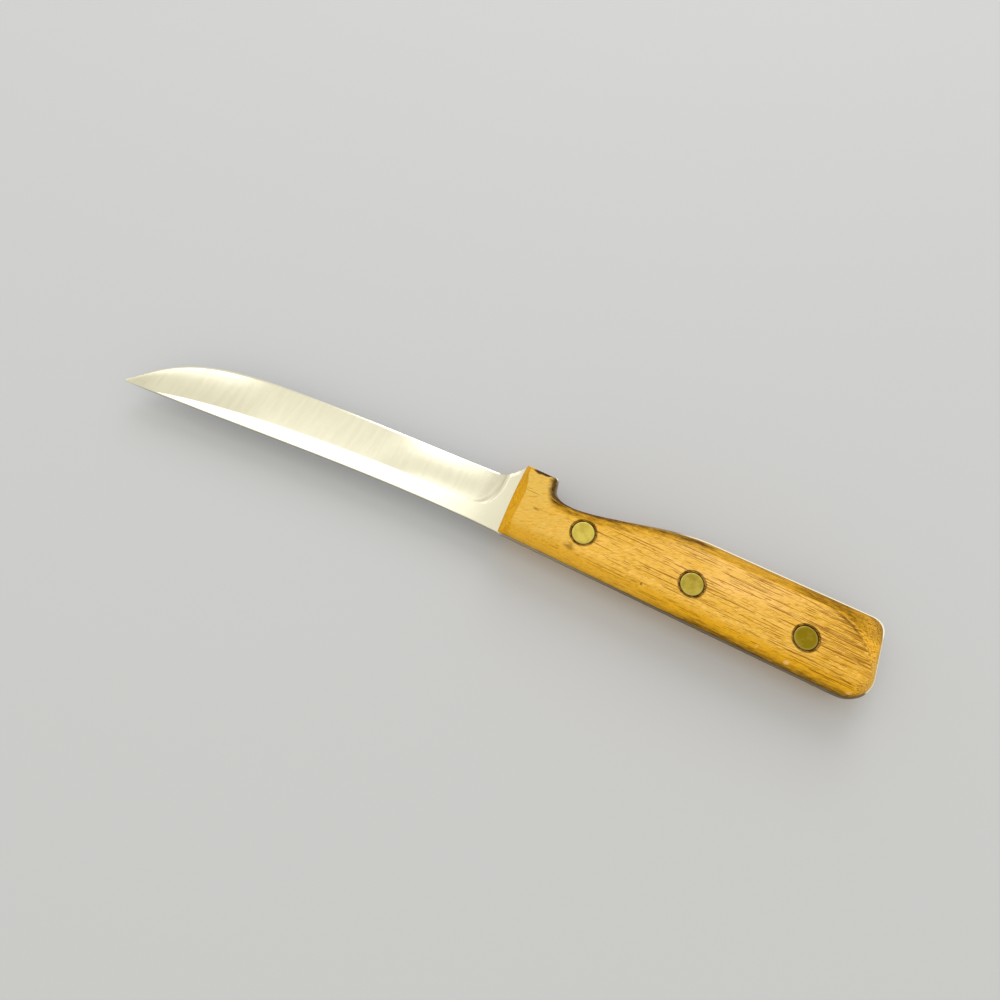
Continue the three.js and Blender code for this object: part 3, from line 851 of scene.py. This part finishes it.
# Room that the grind line leaves: this many rims at the spine, and this share of the width at the edge
RIMS_LEFT = 2.5
HOLLOW_LEFT = 0.2

# Least width that is divided by, in metres, and the most of half the steel that a chamfer takes
LEAST_WIDTH = 1e-6
MOST_CHAMFER = 0.4

# Where the hollow is eased, as a band of x over the length of the blade
EASED = (-0.76, -0.62, -0.36, -0.22)

# Fillet where the hollow meets the plunge, and where the sharpened bevel runs out in front of the heel
PLUNGE_FILLET = 0.04 * MM
SHARP_RUNOUT = (2.2 * MM, 3.2 * MM)


def blade_curves(blade, handle):
    """The spine, cutting edge and grind line as points of rising x.

    All three are cubic Bezier curves. The edge goes on round the heel by a quadratic fillet, and then
    straight up to the nose of the guard.
    """
    tip = np.array([-blade.blade_length, -blade.tip_sweep])
    tail = tip + (blade.spine_tail, blade.spine_tail_rise)
    spine = bezier([tip, tail, (-blade.spine_lead, blade.spine_crest), (0.0, 0.0)], SPINE_STEPS)
    heel = np.array([-blade.heel_setback, blade.heel_height])
    heel_way = np.array([1.0, blade.heel_slope])
    edge_end = heel - blade.heel_fillet * heel_way
    belly_way = np.array([1.0, blade.belly_slope])
    belly_start = np.array([tip[0] + blade.belly_length, blade.belly_height])
    tip_way = np.array([math.cos(blade.tip_angle), math.sin(blade.tip_angle)])
    before = belly_start - blade.belly_reach * belly_way
    after = belly_start + blade.belly_reach * belly_way
    belly = bezier([tip, tip + blade.tip_reach * tip_way, before, belly_start], BELLY_STEPS)
    run = bezier([belly_start, after, edge_end - blade.heel_reach * heel_way, edge_end], EDGE_STEPS)
    nose = np.array([-handle.guard_nose, handle.guard_height])
    fillet = bezier([edge_end, heel, towards(heel, nose, blade.heel_fillet)], FILLET_STEPS)
    edge = np.vstack([belly, run[1:], fillet[1:], nose])
    grind_end_x = tip[0] + blade.grind_runout
    grind_end = np.array([grind_end_x, over(spine, grind_end_x)])
    grind_start = np.array([-blade.grind_start, blade.grind_band])
    grind_lead = grind_start - (blade.grind_lead, blade.grind_lead_drop)
    grind_tail = grind_end + (blade.grind_tail, blade.grind_tail_rise)
    grind = bezier([grind_end, grind_tail, grind_lead, grind_start], GRIND_STEPS)
    return spine, edge, grind


def blade_stations(blade, handle):
    """Stations along the bare steel: close at the tip and round the plunge, wider between."""
    tip = -blade.blade_length
    plunge = -blade.grind_start - PLUNGE_ROOM
    bends = (tip, tip + blade.grind_runout, tip + TIP_LENGTH, plunge, -handle.guard_nose)
    runs = [
        np.linspace(start, end, count, endpoint=False)
        for start, end, count in zip(bends, bends[1:], STATION_COUNTS)
    ]
    return np.concatenate(runs + [[bends[-1]]])


def plunge_line(y, blade):
    """Where the grind ends at the rear: a quarter ellipse from the grind line, then square to the edge."""
    climb = np.clip((blade.plunge_height - y) / (blade.plunge_height - blade.grind_band), 0.0, 1.0)
    return -blade.grind_start + (blade.grind_start - blade.plunge_setback) * np.sqrt(1.0 - climb**2)


def grind_depth(x, y, low, high, blade):
    """Depth of the hollow below the flat side of the steel.

    Across the blade it is a parabola from the grind line (low) to the cutting edge (high), flatter in the
    middle of the blade. At the rear it climbs out to the plunge line. The two meet in a small fillet, by a
    smooth minimum.
    """
    across = np.clip((y - low) / np.maximum(high - low, LEAST_WIDTH), 0.0, 1.0)
    full = (blade.thickness - blade.edge_thickness) / 2
    bow = blade.grind_hollow - blade.grind_ease * band(x / blade.blade_length, *EASED)
    hollow = full * across * (1.0 + bow * (1.0 - across))
    ramp = (plunge_line(y, blade) - x) * blade.plunge_slope
    near = np.clip(0.5 + 0.5 * (ramp - hollow) / PLUNGE_FILLET, 0.0, 1.0)
    soft = ramp + (hollow - ramp) * near - PLUNGE_FILLET * near * (1.0 - near)
    depth = np.where(hollow < PLUNGE_FILLET, np.minimum(hollow, ramp), soft)
    return np.where(x < 0.0, np.maximum(depth, 0.0), 0.0)


def crowded(count):
    """Shares from 0 to 1 that are closer at both ends: (1 - cos a) / 2."""
    return (1.0 - np.cos(np.linspace(0.0, math.pi, count))) / 2


def columns_across(width, grind_share, chamfer, bevel):
    """Shares across the steel for each station, close to the borders, to the grind line and to the edge."""
    inner = np.minimum(chamfer / width, FLAT_RIM)[:, None]
    outer = 1.0 - np.minimum(bevel / width, HOLLOW_RIM)[:, None]
    line = np.clip(grind_share[:, None], RIMS_LEFT * inner, outer - HOLLOW_LEFT)
    flat = inner + (line - inner) * crowded(FLAT_COLUMNS)
    hollow = line + (outer - line) * crowded(HOLLOW_COLUMNS)[1:]
    return np.hstack([np.zeros_like(inner), flat, hollow, np.ones_like(inner)])


def blade_surface(blade, handle):
    """The right side of the steel as a grid, with rows from tip to butt and columns from spine to edge.

    Each row is a straight line across the steel. Its height is half the thickness less the depth of the
    grind, and falls off at both borders to the chamfer or the sharpened edge.
    """
    spine, edge, grind = blade_curves(blade, handle)
    x = blade_stations(blade, handle)
    tang_near, tang_far = tang_sides(handle)
    near = np.vstack([np.column_stack([x, over(spine, x)]), tang_near])
    far = np.vstack([np.column_stack([x, over(edge, x)]), tang_far])
    width = np.maximum(np.hypot(*(far - near).T), LEAST_WIDTH)
    middle_x = (near[:, 0] + far[:, 0]) / 2
    low = over(grind, np.minimum(middle_x, -blade.grind_start))
    sharp = band(-blade.heel_setback - middle_x, *SHARP_RUNOUT)
    rim = blade.chamfer + (blade.sharp_width - blade.chamfer) * sharp
    shares = columns_across(width, (low - near[:, 1]) / width, blade.chamfer, rim)
    plan = near[:, None, :] + shares[..., None] * (far - near)[:, None, :]
    depth = grind_depth(plan[..., 0], plan[..., 1], low[:, None], far[:, 1][:, None], blade)
    height = blade.thickness / 2 - depth
    height[:, 0] -= np.minimum(blade.chamfer, MOST_CHAMFER * height[:, 0])
    blunt = height[:, -1] - blade.chamfer
    height[:, -1] = blunt + (blade.sharp_thickness / 2 - blunt) * sharp
    height[0] = blade.sharp_thickness / 2
    return np.dstack([plan, height])


def blade_attributes(piece, blade, handle):
    """Marks ground and matte steel, steel darkened by dirt and by painted shade, and a painted highlight,
    from the place on the blade.

    The bands are in millimetres: along the knife, behind the tip, behind the rear end of the grind line, in
    front of the plunge line, away from the outline of the heel and the tang, and deep in the hollow.
    """
    x, y, z = working_points(piece, blade)
    spine, edge, grind = blade_curves(blade, handle)
    low = over(grind, np.minimum(x, -blade.grind_start))
    depth = grind_depth(x, y, low, over(edge, np.minimum(x, -handle.guard_nose)), blade)
    above_spine = y - over(spine, x)
    outline = np.vstack([edge[edge[:, 0] > -blade.heel_setback], tang_sides(handle)[1]])
    measures = {
        "along": x / MM,
        "tip": (x + blade.blade_length) / MM,
        "bare": (x + blade.grind_start) / MM,
        "ahead": (plunge_line(y, blade) - x) / MM,
        "gap": distances(x, y, outline).min(axis=1) / MM,
        "depth": depth / MM,
    }
    mark = partial(mask, measures)
    blade_side = x < 0.0
    far_half = y > FAR_HALF
    # notch darkens the tang behind the guard and along the waist. under is painted shade on the spine edge of
    # the tang, standing in for the dark floor that it mirrors. plunge is partly dirt and partly painted shade
    # that dims the reflection ahead of the plunge.
    notch = mark(0.9 * far_half, along=(8.6, 9.6, 46, 56))
    under = mark((0.6 + mark(0.25, along=(8, 45))) * (y < 4 * MM), along=(0, 2))
    bare = mark(0.05 * (depth <= 0.0), bare=(0, 4))
    back = 0.14 * blade_side * (np.abs(above_spine) < 0.02 * MM)
    point = mark(0.08, tip=(12, 6))
    plunge = mark(0.3 * (y > low), ahead=(0.4, 1.2, 2, 8))
    rim = mark(0.35 * blade_side * (above_spine < 0.2 * MM) * (z > blade.thickness / 3), along=(-16, -8))
    store(piece, "ground", mark(1.0, depth=(0, 0.02)))
    store(piece, "grime_and_shade", notch, under, bare, back, point, plunge, rim)
    store(piece, "matte", mark(y > low - 0.3 * MM, ahead=(-0.6, -0.2, 1.2, 3)))
    # bright is a painted highlight: paler steel along the far edge of the tang and at the front of the guard,
    # where the steel glints.
    store(piece, "bright", mark(far_half * (1.0 - notch), gap=(1.4, 0.5), along=(-5, -4)))


class KNIFE_OT_blade(bpy.types.Operator):
    """Build the steel: blade, ricasso and tang in one piece"""

    bl_idname = "knife.blade"
    bl_label = "Blade"

    def execute(self, context):
        blade, handle, rivet = sizes(context)
        right = blade_surface(blade, handle)
        left = right * (1.0, 1.0, -1.0)
        walls = [np.stack([right[:, 0], left[:, 0]]), np.stack([right[:, -1], left[:, -1]])]
        walls.append(np.stack([right[-1], left[-1]]))
        piece = welded_piece("ground_blade", [placed(grid, blade) for grid in (right, left, *walls)])
        radius = sleeve_radius(rivet) + rivet.sleeve_fit
        reach = blade.thickness
        hole = [(0.0, -reach), (radius, -reach), (radius, reach), (0.0, reach)]
        drilled(piece, hole, rivet_places(rivet, handle), blade)
        blade_attributes(piece, blade, handle)
        finished(piece, steel_finish(blade, context.scene.knife_finish), "blade", "steel")
        return {"FINISHED"}


# Scales

# Points across a scale, and rings of its rounded edges
SCALE_COLUMNS = 41
RING_STEPS = 16

# How soft the far edge is at the waist, and where along the handle, in millimetres
WAIST_SOFTNESS = 0.45
WAIST_SOFT = (9, 13, 30, 62)

# Height over which the foot of the front bevel leans, and how fast it clears the slanted steel at the guard
LEAN_HEIGHT = 20 * MM
NOSE_SLOPE = 0.75

# Rise from which a point of a scale lies on its flat
ON_FLAT = 0.99


def scale_rings(handle):
    """Shares of a rounded edge, inwards and upwards, for a creased edge and for a soft one.

    The creased edge is an arc that turns by round_angle on either side of its mean slope. The soft edge is a
    quarter of an ellipse: 1 - cos a inwards, sin a upwards.
    """
    half = handle.round_angle
    radius = math.sqrt(0.5) / math.sin(half)
    turn = half * np.linspace(-1.0, 1.0, RING_STEPS + 1)
    along = radius * (np.sin(turn) + math.sin(half))
    bulge = radius * (np.cos(turn) - math.cos(half))
    creased = np.stack([along - bulge, along + bulge]) * math.sqrt(0.5)
    quarter = np.linspace(0.0, math.pi / 2, RING_STEPS + 1)
    soft = np.stack([1.0 - np.cos(quarter), np.sin(quarter)])
    return creased, soft


def scale_edge(outer, inner, softness, shift, blade, handle):
    """A rounded edge: rings between the outer and the inner line of points, with the given softness at each.

    shift says how far the points there still follow the slope of the front bevel.
    """
    creased, soft = scale_rings(handle)
    share_in, rise = creased[:, :, None] + (soft - creased)[:, :, None] * softness
    plan = outer + (inner - outer) * share_in[..., None]
    plan[..., 0] += handle.front_bevel * (rise - share_in) * shift
    return np.dstack([plan, blade.thickness / 2 + handle.scale_thickness * rise])


def ruled(near, far):
    """Straight lines of points from each near point to its far point."""
    across = np.linspace(0.0, 1.0, SCALE_COLUMNS)[:, None]
    return near[..., None, :] + across * (far - near)[..., None, :]


def scale_grids(blade, handle):
    """The right scale as grids: both long edges, the flat face, the butt edge and the front bevel."""
    near_out, far_out = wood_sides(handle)
    near_in, far_in = flat_sides(handle)
    shift = np.clip(1.0 - far_out[:, 0] / handle.bevel_blend, 0.0, 1.0)
    corner = np.arange(len(near_out)) - (len(near_out) - 1 - CORNER_STEPS)
    near_soft = 1.0 - smooth(0.0, CORNER_STEPS, corner)
    far_soft = WAIST_SOFTNESS * band(far_out[:, 0] / MM, *WAIST_SOFT)
    near = scale_edge(near_out, near_in, near_soft, shift, blade, handle)
    far = scale_edge(far_out, far_in, far_soft, shift, blade, handle)
    butt_out = ruled(near_out[-1], far_out[-1])
    butt_in = ruled(near_in[-1], far_in[-1])
    none = np.zeros(SCALE_COLUMNS)
    butt = scale_edge(butt_out, butt_in, none, none, blade, handle)
    flat = ruled(near[-1], far[-1])
    bevel = ruled(near[:, 0], far[:, 0])
    return [leaned(grid, blade, handle) for grid in (near, far, butt, flat, bevel)]


def leaned(grid, blade, handle):
    """The points of a scale with the foot of the front bevel moved forward, and its crease at the guard too.

    The foot moves by a quarter sine of the height and stays behind the slanted steel at the top of the guard.
    The crease moves by a parabola that takes the bevel away at the top. Both are lost away from the front.
    """
    x, y, z = np.moveaxis(grid, -1, 0)
    rise = (z - blade.thickness / 2) / handle.scale_thickness
    lean = handle.front_lean * np.sin(np.clip(y / LEAN_HEIGHT, 0.0, 1.0) * math.pi / 2)
    top = np.maximum(handle.guard_height - y, 0.0)
    lean = np.minimum(lean, handle.guard_nose + NOSE_SLOPE * top)
    run = handle.bevel_top - handle.bevel_break
    taper = handle.front_bevel * np.clip((y - handle.bevel_break) / run, 0.0, 1.0) ** 2
    left = np.clip(1.0 - x / handle.bevel_blend, 0.0, 1.0)
    return np.stack([x - (lean * (1.0 - rise) + taper * rise) * left, y, z], -1)


def scale_attributes(piece, blade, handle, rivet):
    """Marks wood darkened by dirt and by painted shade, painted edge shade, a painted sheen, dry and deep
    wood and crowded pores, from the place on the scale.

    The bands are in millimetres: along and across the handle, gap to the far outline of the tang, station of
    the nearest point of that outline, crease to the far border of the flat, and ring outside the nearest
    rivet's groove. rise goes from 0 at the steel to 1 at the flat. The darkening in the notch starts farther
    inside behind the guard, and the one along the waist is measured on the flat alone.
    """
    x, y, z = working_points(piece, blade)
    outline = tang_sides(handle)[1][:-CORNER_STEPS]
    apart = distances(x, y, outline)
    gap = apart.min(axis=1) / MM
    station = outline[apart.argmin(axis=1), 0] / MM
    rise = (np.abs(z) - blade.thickness / 2) / handle.scale_thickness
    crease = distances(x, y, flat_sides(handle)[1]).min(axis=1) / MM
    axes = np.array(rivet_places(rivet, handle))
    groove = rivet.head_diameter / 2 + rivet.head_gap
    measures = {
        "along": x / MM,
        "across": y / MM,
        "rise": rise,
        "gap": gap,
        "station": station,
        "inside": gap - 2.3 * band(station, 9.8, 13),
        "crease": crease,
        "flat": crease * (rise > ON_FLAT),
        "ring": (distances(x, y, axes).min(axis=1) - groove) / MM,
    }
    mark = partial(mask, measures)
    high = 0.55 + mark(0.45, rise=(0.15, 0.65))
    waist = mark(0.54 - mark(0.2, station=(26, 38)), flat=(2.2, 0)) + mark(0.38, rise=(1, 0.6))
    strip = mark(0.37, along=(48, 60)) + mark(0.22, along=(76, 90))
    strip = strip * (0.6 + mark(0.4, along=(105, 97)))
    bevel = mark(1.0, rise=(0.995, 0.96), along=(4, 2.8))
    # Darker wood. rivets is dirt in the ring round each head, and front joint darkens the foot of the front
    # bevel at the steel. guard, notch and waist are partly dirt and partly painted shade on the far edge.
    # spine and rear spine are painted shade, darker towards the floor. belly, belly joint and front bevel are
    # painted shade on edges turned away from the lamps. butt darkens the crease near the butt corner.
    stains_and_shade = {
        "guard": mark(high, gap=(3.9, 3.1), station=(1.6, 3, 9.2, 9.5)),
        "notch": mark(0.41 * (1.0 + high), inside=(3.9, 0.7), station=(8.6, 9.3, 13, 20)),
        "waist": mark(waist * high * (y > FAR_HALF), station=(11, 14, 54, 66)),
        "rivets": mark(0.76, ring=(0.34, -0.15)),
        "butt": mark(0.6, crease=(1, 0.1), along=(88, 97), across=(14, 17)),
        "spine": mark(0.34, rise=(0.75, 0.05), across=(6, 3)),
        "rear spine": mark(0.64, rise=(1, 0.1), along=(30, 62), across=(6, 3)),
        "belly": mark(strip, rise=(1, 0.9), across=(15, 18)),
        "belly joint": mark(0.52 * (y > BELLY_HALF), rise=(0.95, 0.2), along=(50, 60)),
        "front joint": mark(0.45, rise=(0.12, 0), along=(1, 0)),
        "front bevel": 0.32 * bevel,
    }
    store(piece, "grime_and_shade", *stains_and_shade.values())
    # Painted shade: the deeper orange of the rounded edges that turn away from the lamps, along the spine,
    # round the belly, on the front bevel and at the waist.
    spine = mark(0.65 + mark(0.3, along=(35, 60)), across=(4.4, 1.2))
    belly = (0.6 + mark(0.4, along=(72, 88))) * (0.45 + mark(0.55, along=(106, 98)))
    belly = mark(belly, rise=(1, 0.9), along=(30, 60), across=(9, 15))
    notch = mark(0.85, gap=(6.5, 3.2), station=(11, 14, 42, 62))
    store(piece, "shaded", spine, belly, bevel, notch)
    # Painted sheen on the middle and rear of the flat.
    store(piece, "painted_sheen", mark(0.85, along=(34, 60, 84, 104), across=(8, 13), rise=(0.97, 1)))
    store(piece, "dry", mark(0.75 + mark(0.4, across=(10, 14)), along=(26, 14)))
    pores = mark(0.09, along=(14, 40)) + mark(0.03, along=(50, 80), across=(6, 14)) - 0.06
    store(piece, "pores", pores + mark(0.09, along=(84, 97), across=(4, 12), rise=(0.9, 1)))
    # deep darkens the flat near the guard and at the rear; at the rear it is partly painted shade, where the
    # flat catches less sheen.
    store(piece, "deep", mark(0.8, along=(84, 96)) + mark(0.7, along=(24, 14), across=(14, 10)))


class KNIFE_OT_scales(bpy.types.Operator):
    """Build the two wooden scales, drilled and counterbored for the rivets"""

    bl_idname = "knife.scales"
    bl_label = "Scales"

    def execute(self, context):
        blade, handle, rivet = sizes(context)
        material = wood_finish(blade, handle, context.scene.knife_finish)
        _, seat, face = head_levels(blade, handle, rivet)
        bore = sleeve_radius(rivet) + rivet.sleeve_fit
        counterbore = rivet.head_diameter / 2 + rivet.sleeve_fit
        ring = rivet.head_diameter / 2 + rivet.head_gap
        floor = face - rivet.head_groove
        profile = [(0.0, 0.0), (bore, 0.0), (bore, seat), (counterbore, seat), (counterbore, floor)]
        profile += [(ring, floor), (ring, 2 * face), (0.0, 2 * face)]
        for side, turn in (("right", 1.0), ("left", -1.0)):
            grids = [placed(grid * (1.0, 1.0, turn), blade) for grid in scale_grids(blade, handle)]
            piece = welded_piece(f"{side}_wood_scale", grids, fill=True)
            drilled(piece, np.array(profile) * (1.0, turn), rivet_places(rivet, handle), blade)
            scale_attributes(piece, blade, handle, rivet)
            finished(piece, material, f"{side}_scale", "wood")
        return {"FINISHED"}


# Rivets

# Steps of the rim of a head and of its dish, and where the painted highlight lies on the rim, as shares of
# its radius
RIM_STEPS = 8
DISH_STEPS = 16
RIM_GLINT = (0.78, 0.9)


def rivet_places(rivet, handle):
    """The three rivet axes, from the front. The middle one stands halfway."""
    rear = handle.handle_length - rivet.rear_place
    return [(x, rivet.height, 0.0) for x in (rivet.front_place, (rivet.front_place + rear) / 2, rear)]


def sleeve_radius(rivet):
    """Outer radius of the sleeve: post, clearance and wall."""
    return rivet.post_diameter / 2 + rivet.post_fit + rivet.sleeve_wall


def head_levels(blade, handle, rivet):
    """Heights above the middle of the steel: face of a head, its seat, and the flat of the scale."""
    face = blade.thickness / 2 + handle.scale_thickness
    head = face - rivet.head_recess
    return head, head - rivet.head_thickness, face


def headed(stem, head, seat, rivet):
    """The profile of a stem with its head: the seat, the side, a quarter round and a shallow dish."""
    radius = rivet.head_diameter / 2
    flat = radius - rivet.head_round
    turn = np.linspace(0.0, math.pi / 2, RIM_STEPS + 1)
    rim = np.column_stack([np.cos(turn), np.sin(turn)]) * rivet.head_round
    rim = rim + (flat, head - rivet.head_round)
    inward = np.linspace(1.0, 0.0, DISH_STEPS + 1)[1:]
    dish = np.column_stack([inward * flat, head - rivet.head_dish * (1.0 - inward**2) ** 2])
    return np.vstack([stem, (radius, seat), rim, dish])


def post_profile(blade, handle, rivet):
    """The solid half: post, seat and head."""
    head, seat, _ = head_levels(blade, handle, rivet)
    end = -seat + rivet.sleeve_floor + rivet.post_end_gap
    radius = rivet.post_diameter / 2
    return headed([(0.0, end), (radius, end), (radius, seat)], head, seat, rivet)


def sleeve_profile(blade, handle, rivet):
    """The hollow half, upside down: a sleeve with a bore, its seat and its head."""
    head, seat, _ = head_levels(blade, handle, rivet)
    bore = rivet.post_diameter / 2 + rivet.post_fit
    floor = seat - rivet.sleeve_floor
    mouth = -seat + rivet.sleeve_end_gap
    wall = sleeve_radius(rivet)
    stem = [(0.0, floor), (bore, floor), (bore, mouth), (wall, mouth), (wall, seat)]
    return headed(stem, head, seat, rivet)


class KNIFE_OT_rivets(bpy.types.Operator):
    """Build the three brass rivets, each a post and a sleeve with a dished head"""

    bl_idname = "knife.rivets"
    bl_label = "Rivets"

    def execute(self, context):
        blade, handle, rivet = sizes(context)
        material = brass_finish(blade, context.scene.knife_finish)
        halves = (
            ("post", post_profile(blade, handle, rivet), 1.0),
            ("sleeve", sleeve_profile(blade, handle, rivet), -1.0),
        )
        for (name, tarnish), axis in zip(RIVETS.items(), rivet_places(rivet, handle)):
            for half, profile, turn in halves:
                grid = turned_grid(profile) * (1.0, 1.0, turn) + np.array(axis)
                piece = welded_piece(f"{name}_brass_{half}", [placed(grid, blade)])
                x, y, z = working_points(piece, blade)
                away = np.hypot(x - axis[0], y - axis[1]) / (rivet.head_diameter / 2)
                # rim marks where the painted highlight lies, on the rounded rim of the head.
                store(piece, "rim", band(away, *RIM_GLINT) * (z * turn > 0.0))
                store(piece, "tarnish", np.full(len(away), tarnish))
                finished(piece, material, f"{name}_rivet_{half}", "brass")
        return {"FINISHED"}


# Stage


def facing(direction):
    """The turn that points a camera or a light along a direction."""
    return direction.to_track_quat("-Z", "Y").to_euler()


def area_light(name, stage, across, along, power):
    """A rectangular light that points straight down."""
    lamp = bpy.data.lights.new(name, "AREA")
    lamp.shape = "RECTANGLE"
    lamp.size = across
    lamp.size_y = along
    lamp.energy = power
    lamp.color = stage.lamp_colour
    return linked(name, lamp)


class KNIFE_OT_stage(bpy.types.Operator):
    """Set up the camera, the pale floor and the soft light"""

    bl_idname = "knife.stage"
    bl_label = "Stage"

    def execute(self, context):
        scene = context.scene
        stage = scene.knife_stage
        aim = Vector(stage.aim)
        level = math.cos(stage.elevation)
        height = math.sin(stage.elevation)
        side = Vector((level * math.sin(stage.azimuth), -level * math.cos(stage.azimuth), height))
        lens = bpy.data.cameras.new("view")
        lens.lens = stage.lens
        lens.sensor_width = stage.frame_width
        lens.clip_start = stage.near_clip
        camera = linked("view", lens)
        camera.location = aim + side * stage.distance
        camera.rotation_euler = facing(-side)
        scene.camera = camera

        half = stage.floor_size / 2
        spread = np.linspace(-half, half, 3)
        across, along = np.meshgrid(spread, spread)
        mesh = grid_mesh("floor", [np.dstack([across, along, np.full_like(across, -stage.floor_drop)])])
        floor = linked("floor", mesh)
        paint = Finish("pale_floor")
        paint.shade(Base_Color=tint(stage.floor_colour), Roughness=0.75)
        mesh.materials.append(paint.material)

        strip = area_light("strip", stage, stage.strip_length, stage.strip_width, stage.strip_power)
        strip.location = stage.strip_place
        strip.rotation_euler.z = stage.strip_turn
        window = area_light("window", stage, stage.window_size, stage.window_size, stage.window_power)
        window.location = stage.window_place
        window.rotation_euler = facing(aim - window.location)

        room = bpy.data.worlds.new("room")
        room.use_nodes = True
        back = room.node_tree.nodes["Background"]
        back.inputs["Color"].default_value = tint(stage.room_colour)
        back.inputs["Strength"].default_value = stage.room_light
        scene.world = room
        scene.view_settings.view_transform = "Standard"
        return {"FINISHED"}


class KNIFE_PT_panel(bpy.types.Panel):
    """Lists the steps that build the knife"""

    bl_label = "Fillet Knife"
    bl_space_type = "VIEW_3D"
    bl_region_type = "UI"
    bl_category = "Knife"

    def draw(self, context):
        for step in STEPS:
            self.layout.operator(step.bl_idname)


GROUPS = {
    "knife_blade": KnifeBladeSizes,
    "knife_handle": KnifeHandleSizes,
    "knife_rivet": KnifeRivetSizes,
    "knife_finish": KnifeFinish,
    "knife_stage": KnifeStage,
}
STEPS = (KNIFE_OT_stage, KNIFE_OT_blade, KNIFE_OT_scales, KNIFE_OT_rivets)


def register():
    for name, group in GROUPS.items():
        bpy.utils.register_class(group)
        setattr(bpy.types.Scene, name, PointerProperty(type=group))
    for step in STEPS:
        bpy.utils.register_class(step)
    bpy.utils.register_class(KNIFE_PT_panel)


def unregister():
    bpy.utils.unregister_class(KNIFE_PT_panel)
    for step in reversed(STEPS):
        bpy.utils.unregister_class(step)
    for name, group in reversed(GROUPS.items()):
        delattr(bpy.types.Scene, name)
        bpy.utils.unregister_class(group)


def main():
    register()
    bpy.ops.knife.stage()
    bpy.ops.knife.blade()
    bpy.ops.knife.scales()
    bpy.ops.knife.rivets()


if __name__ == "__main__":
    main()
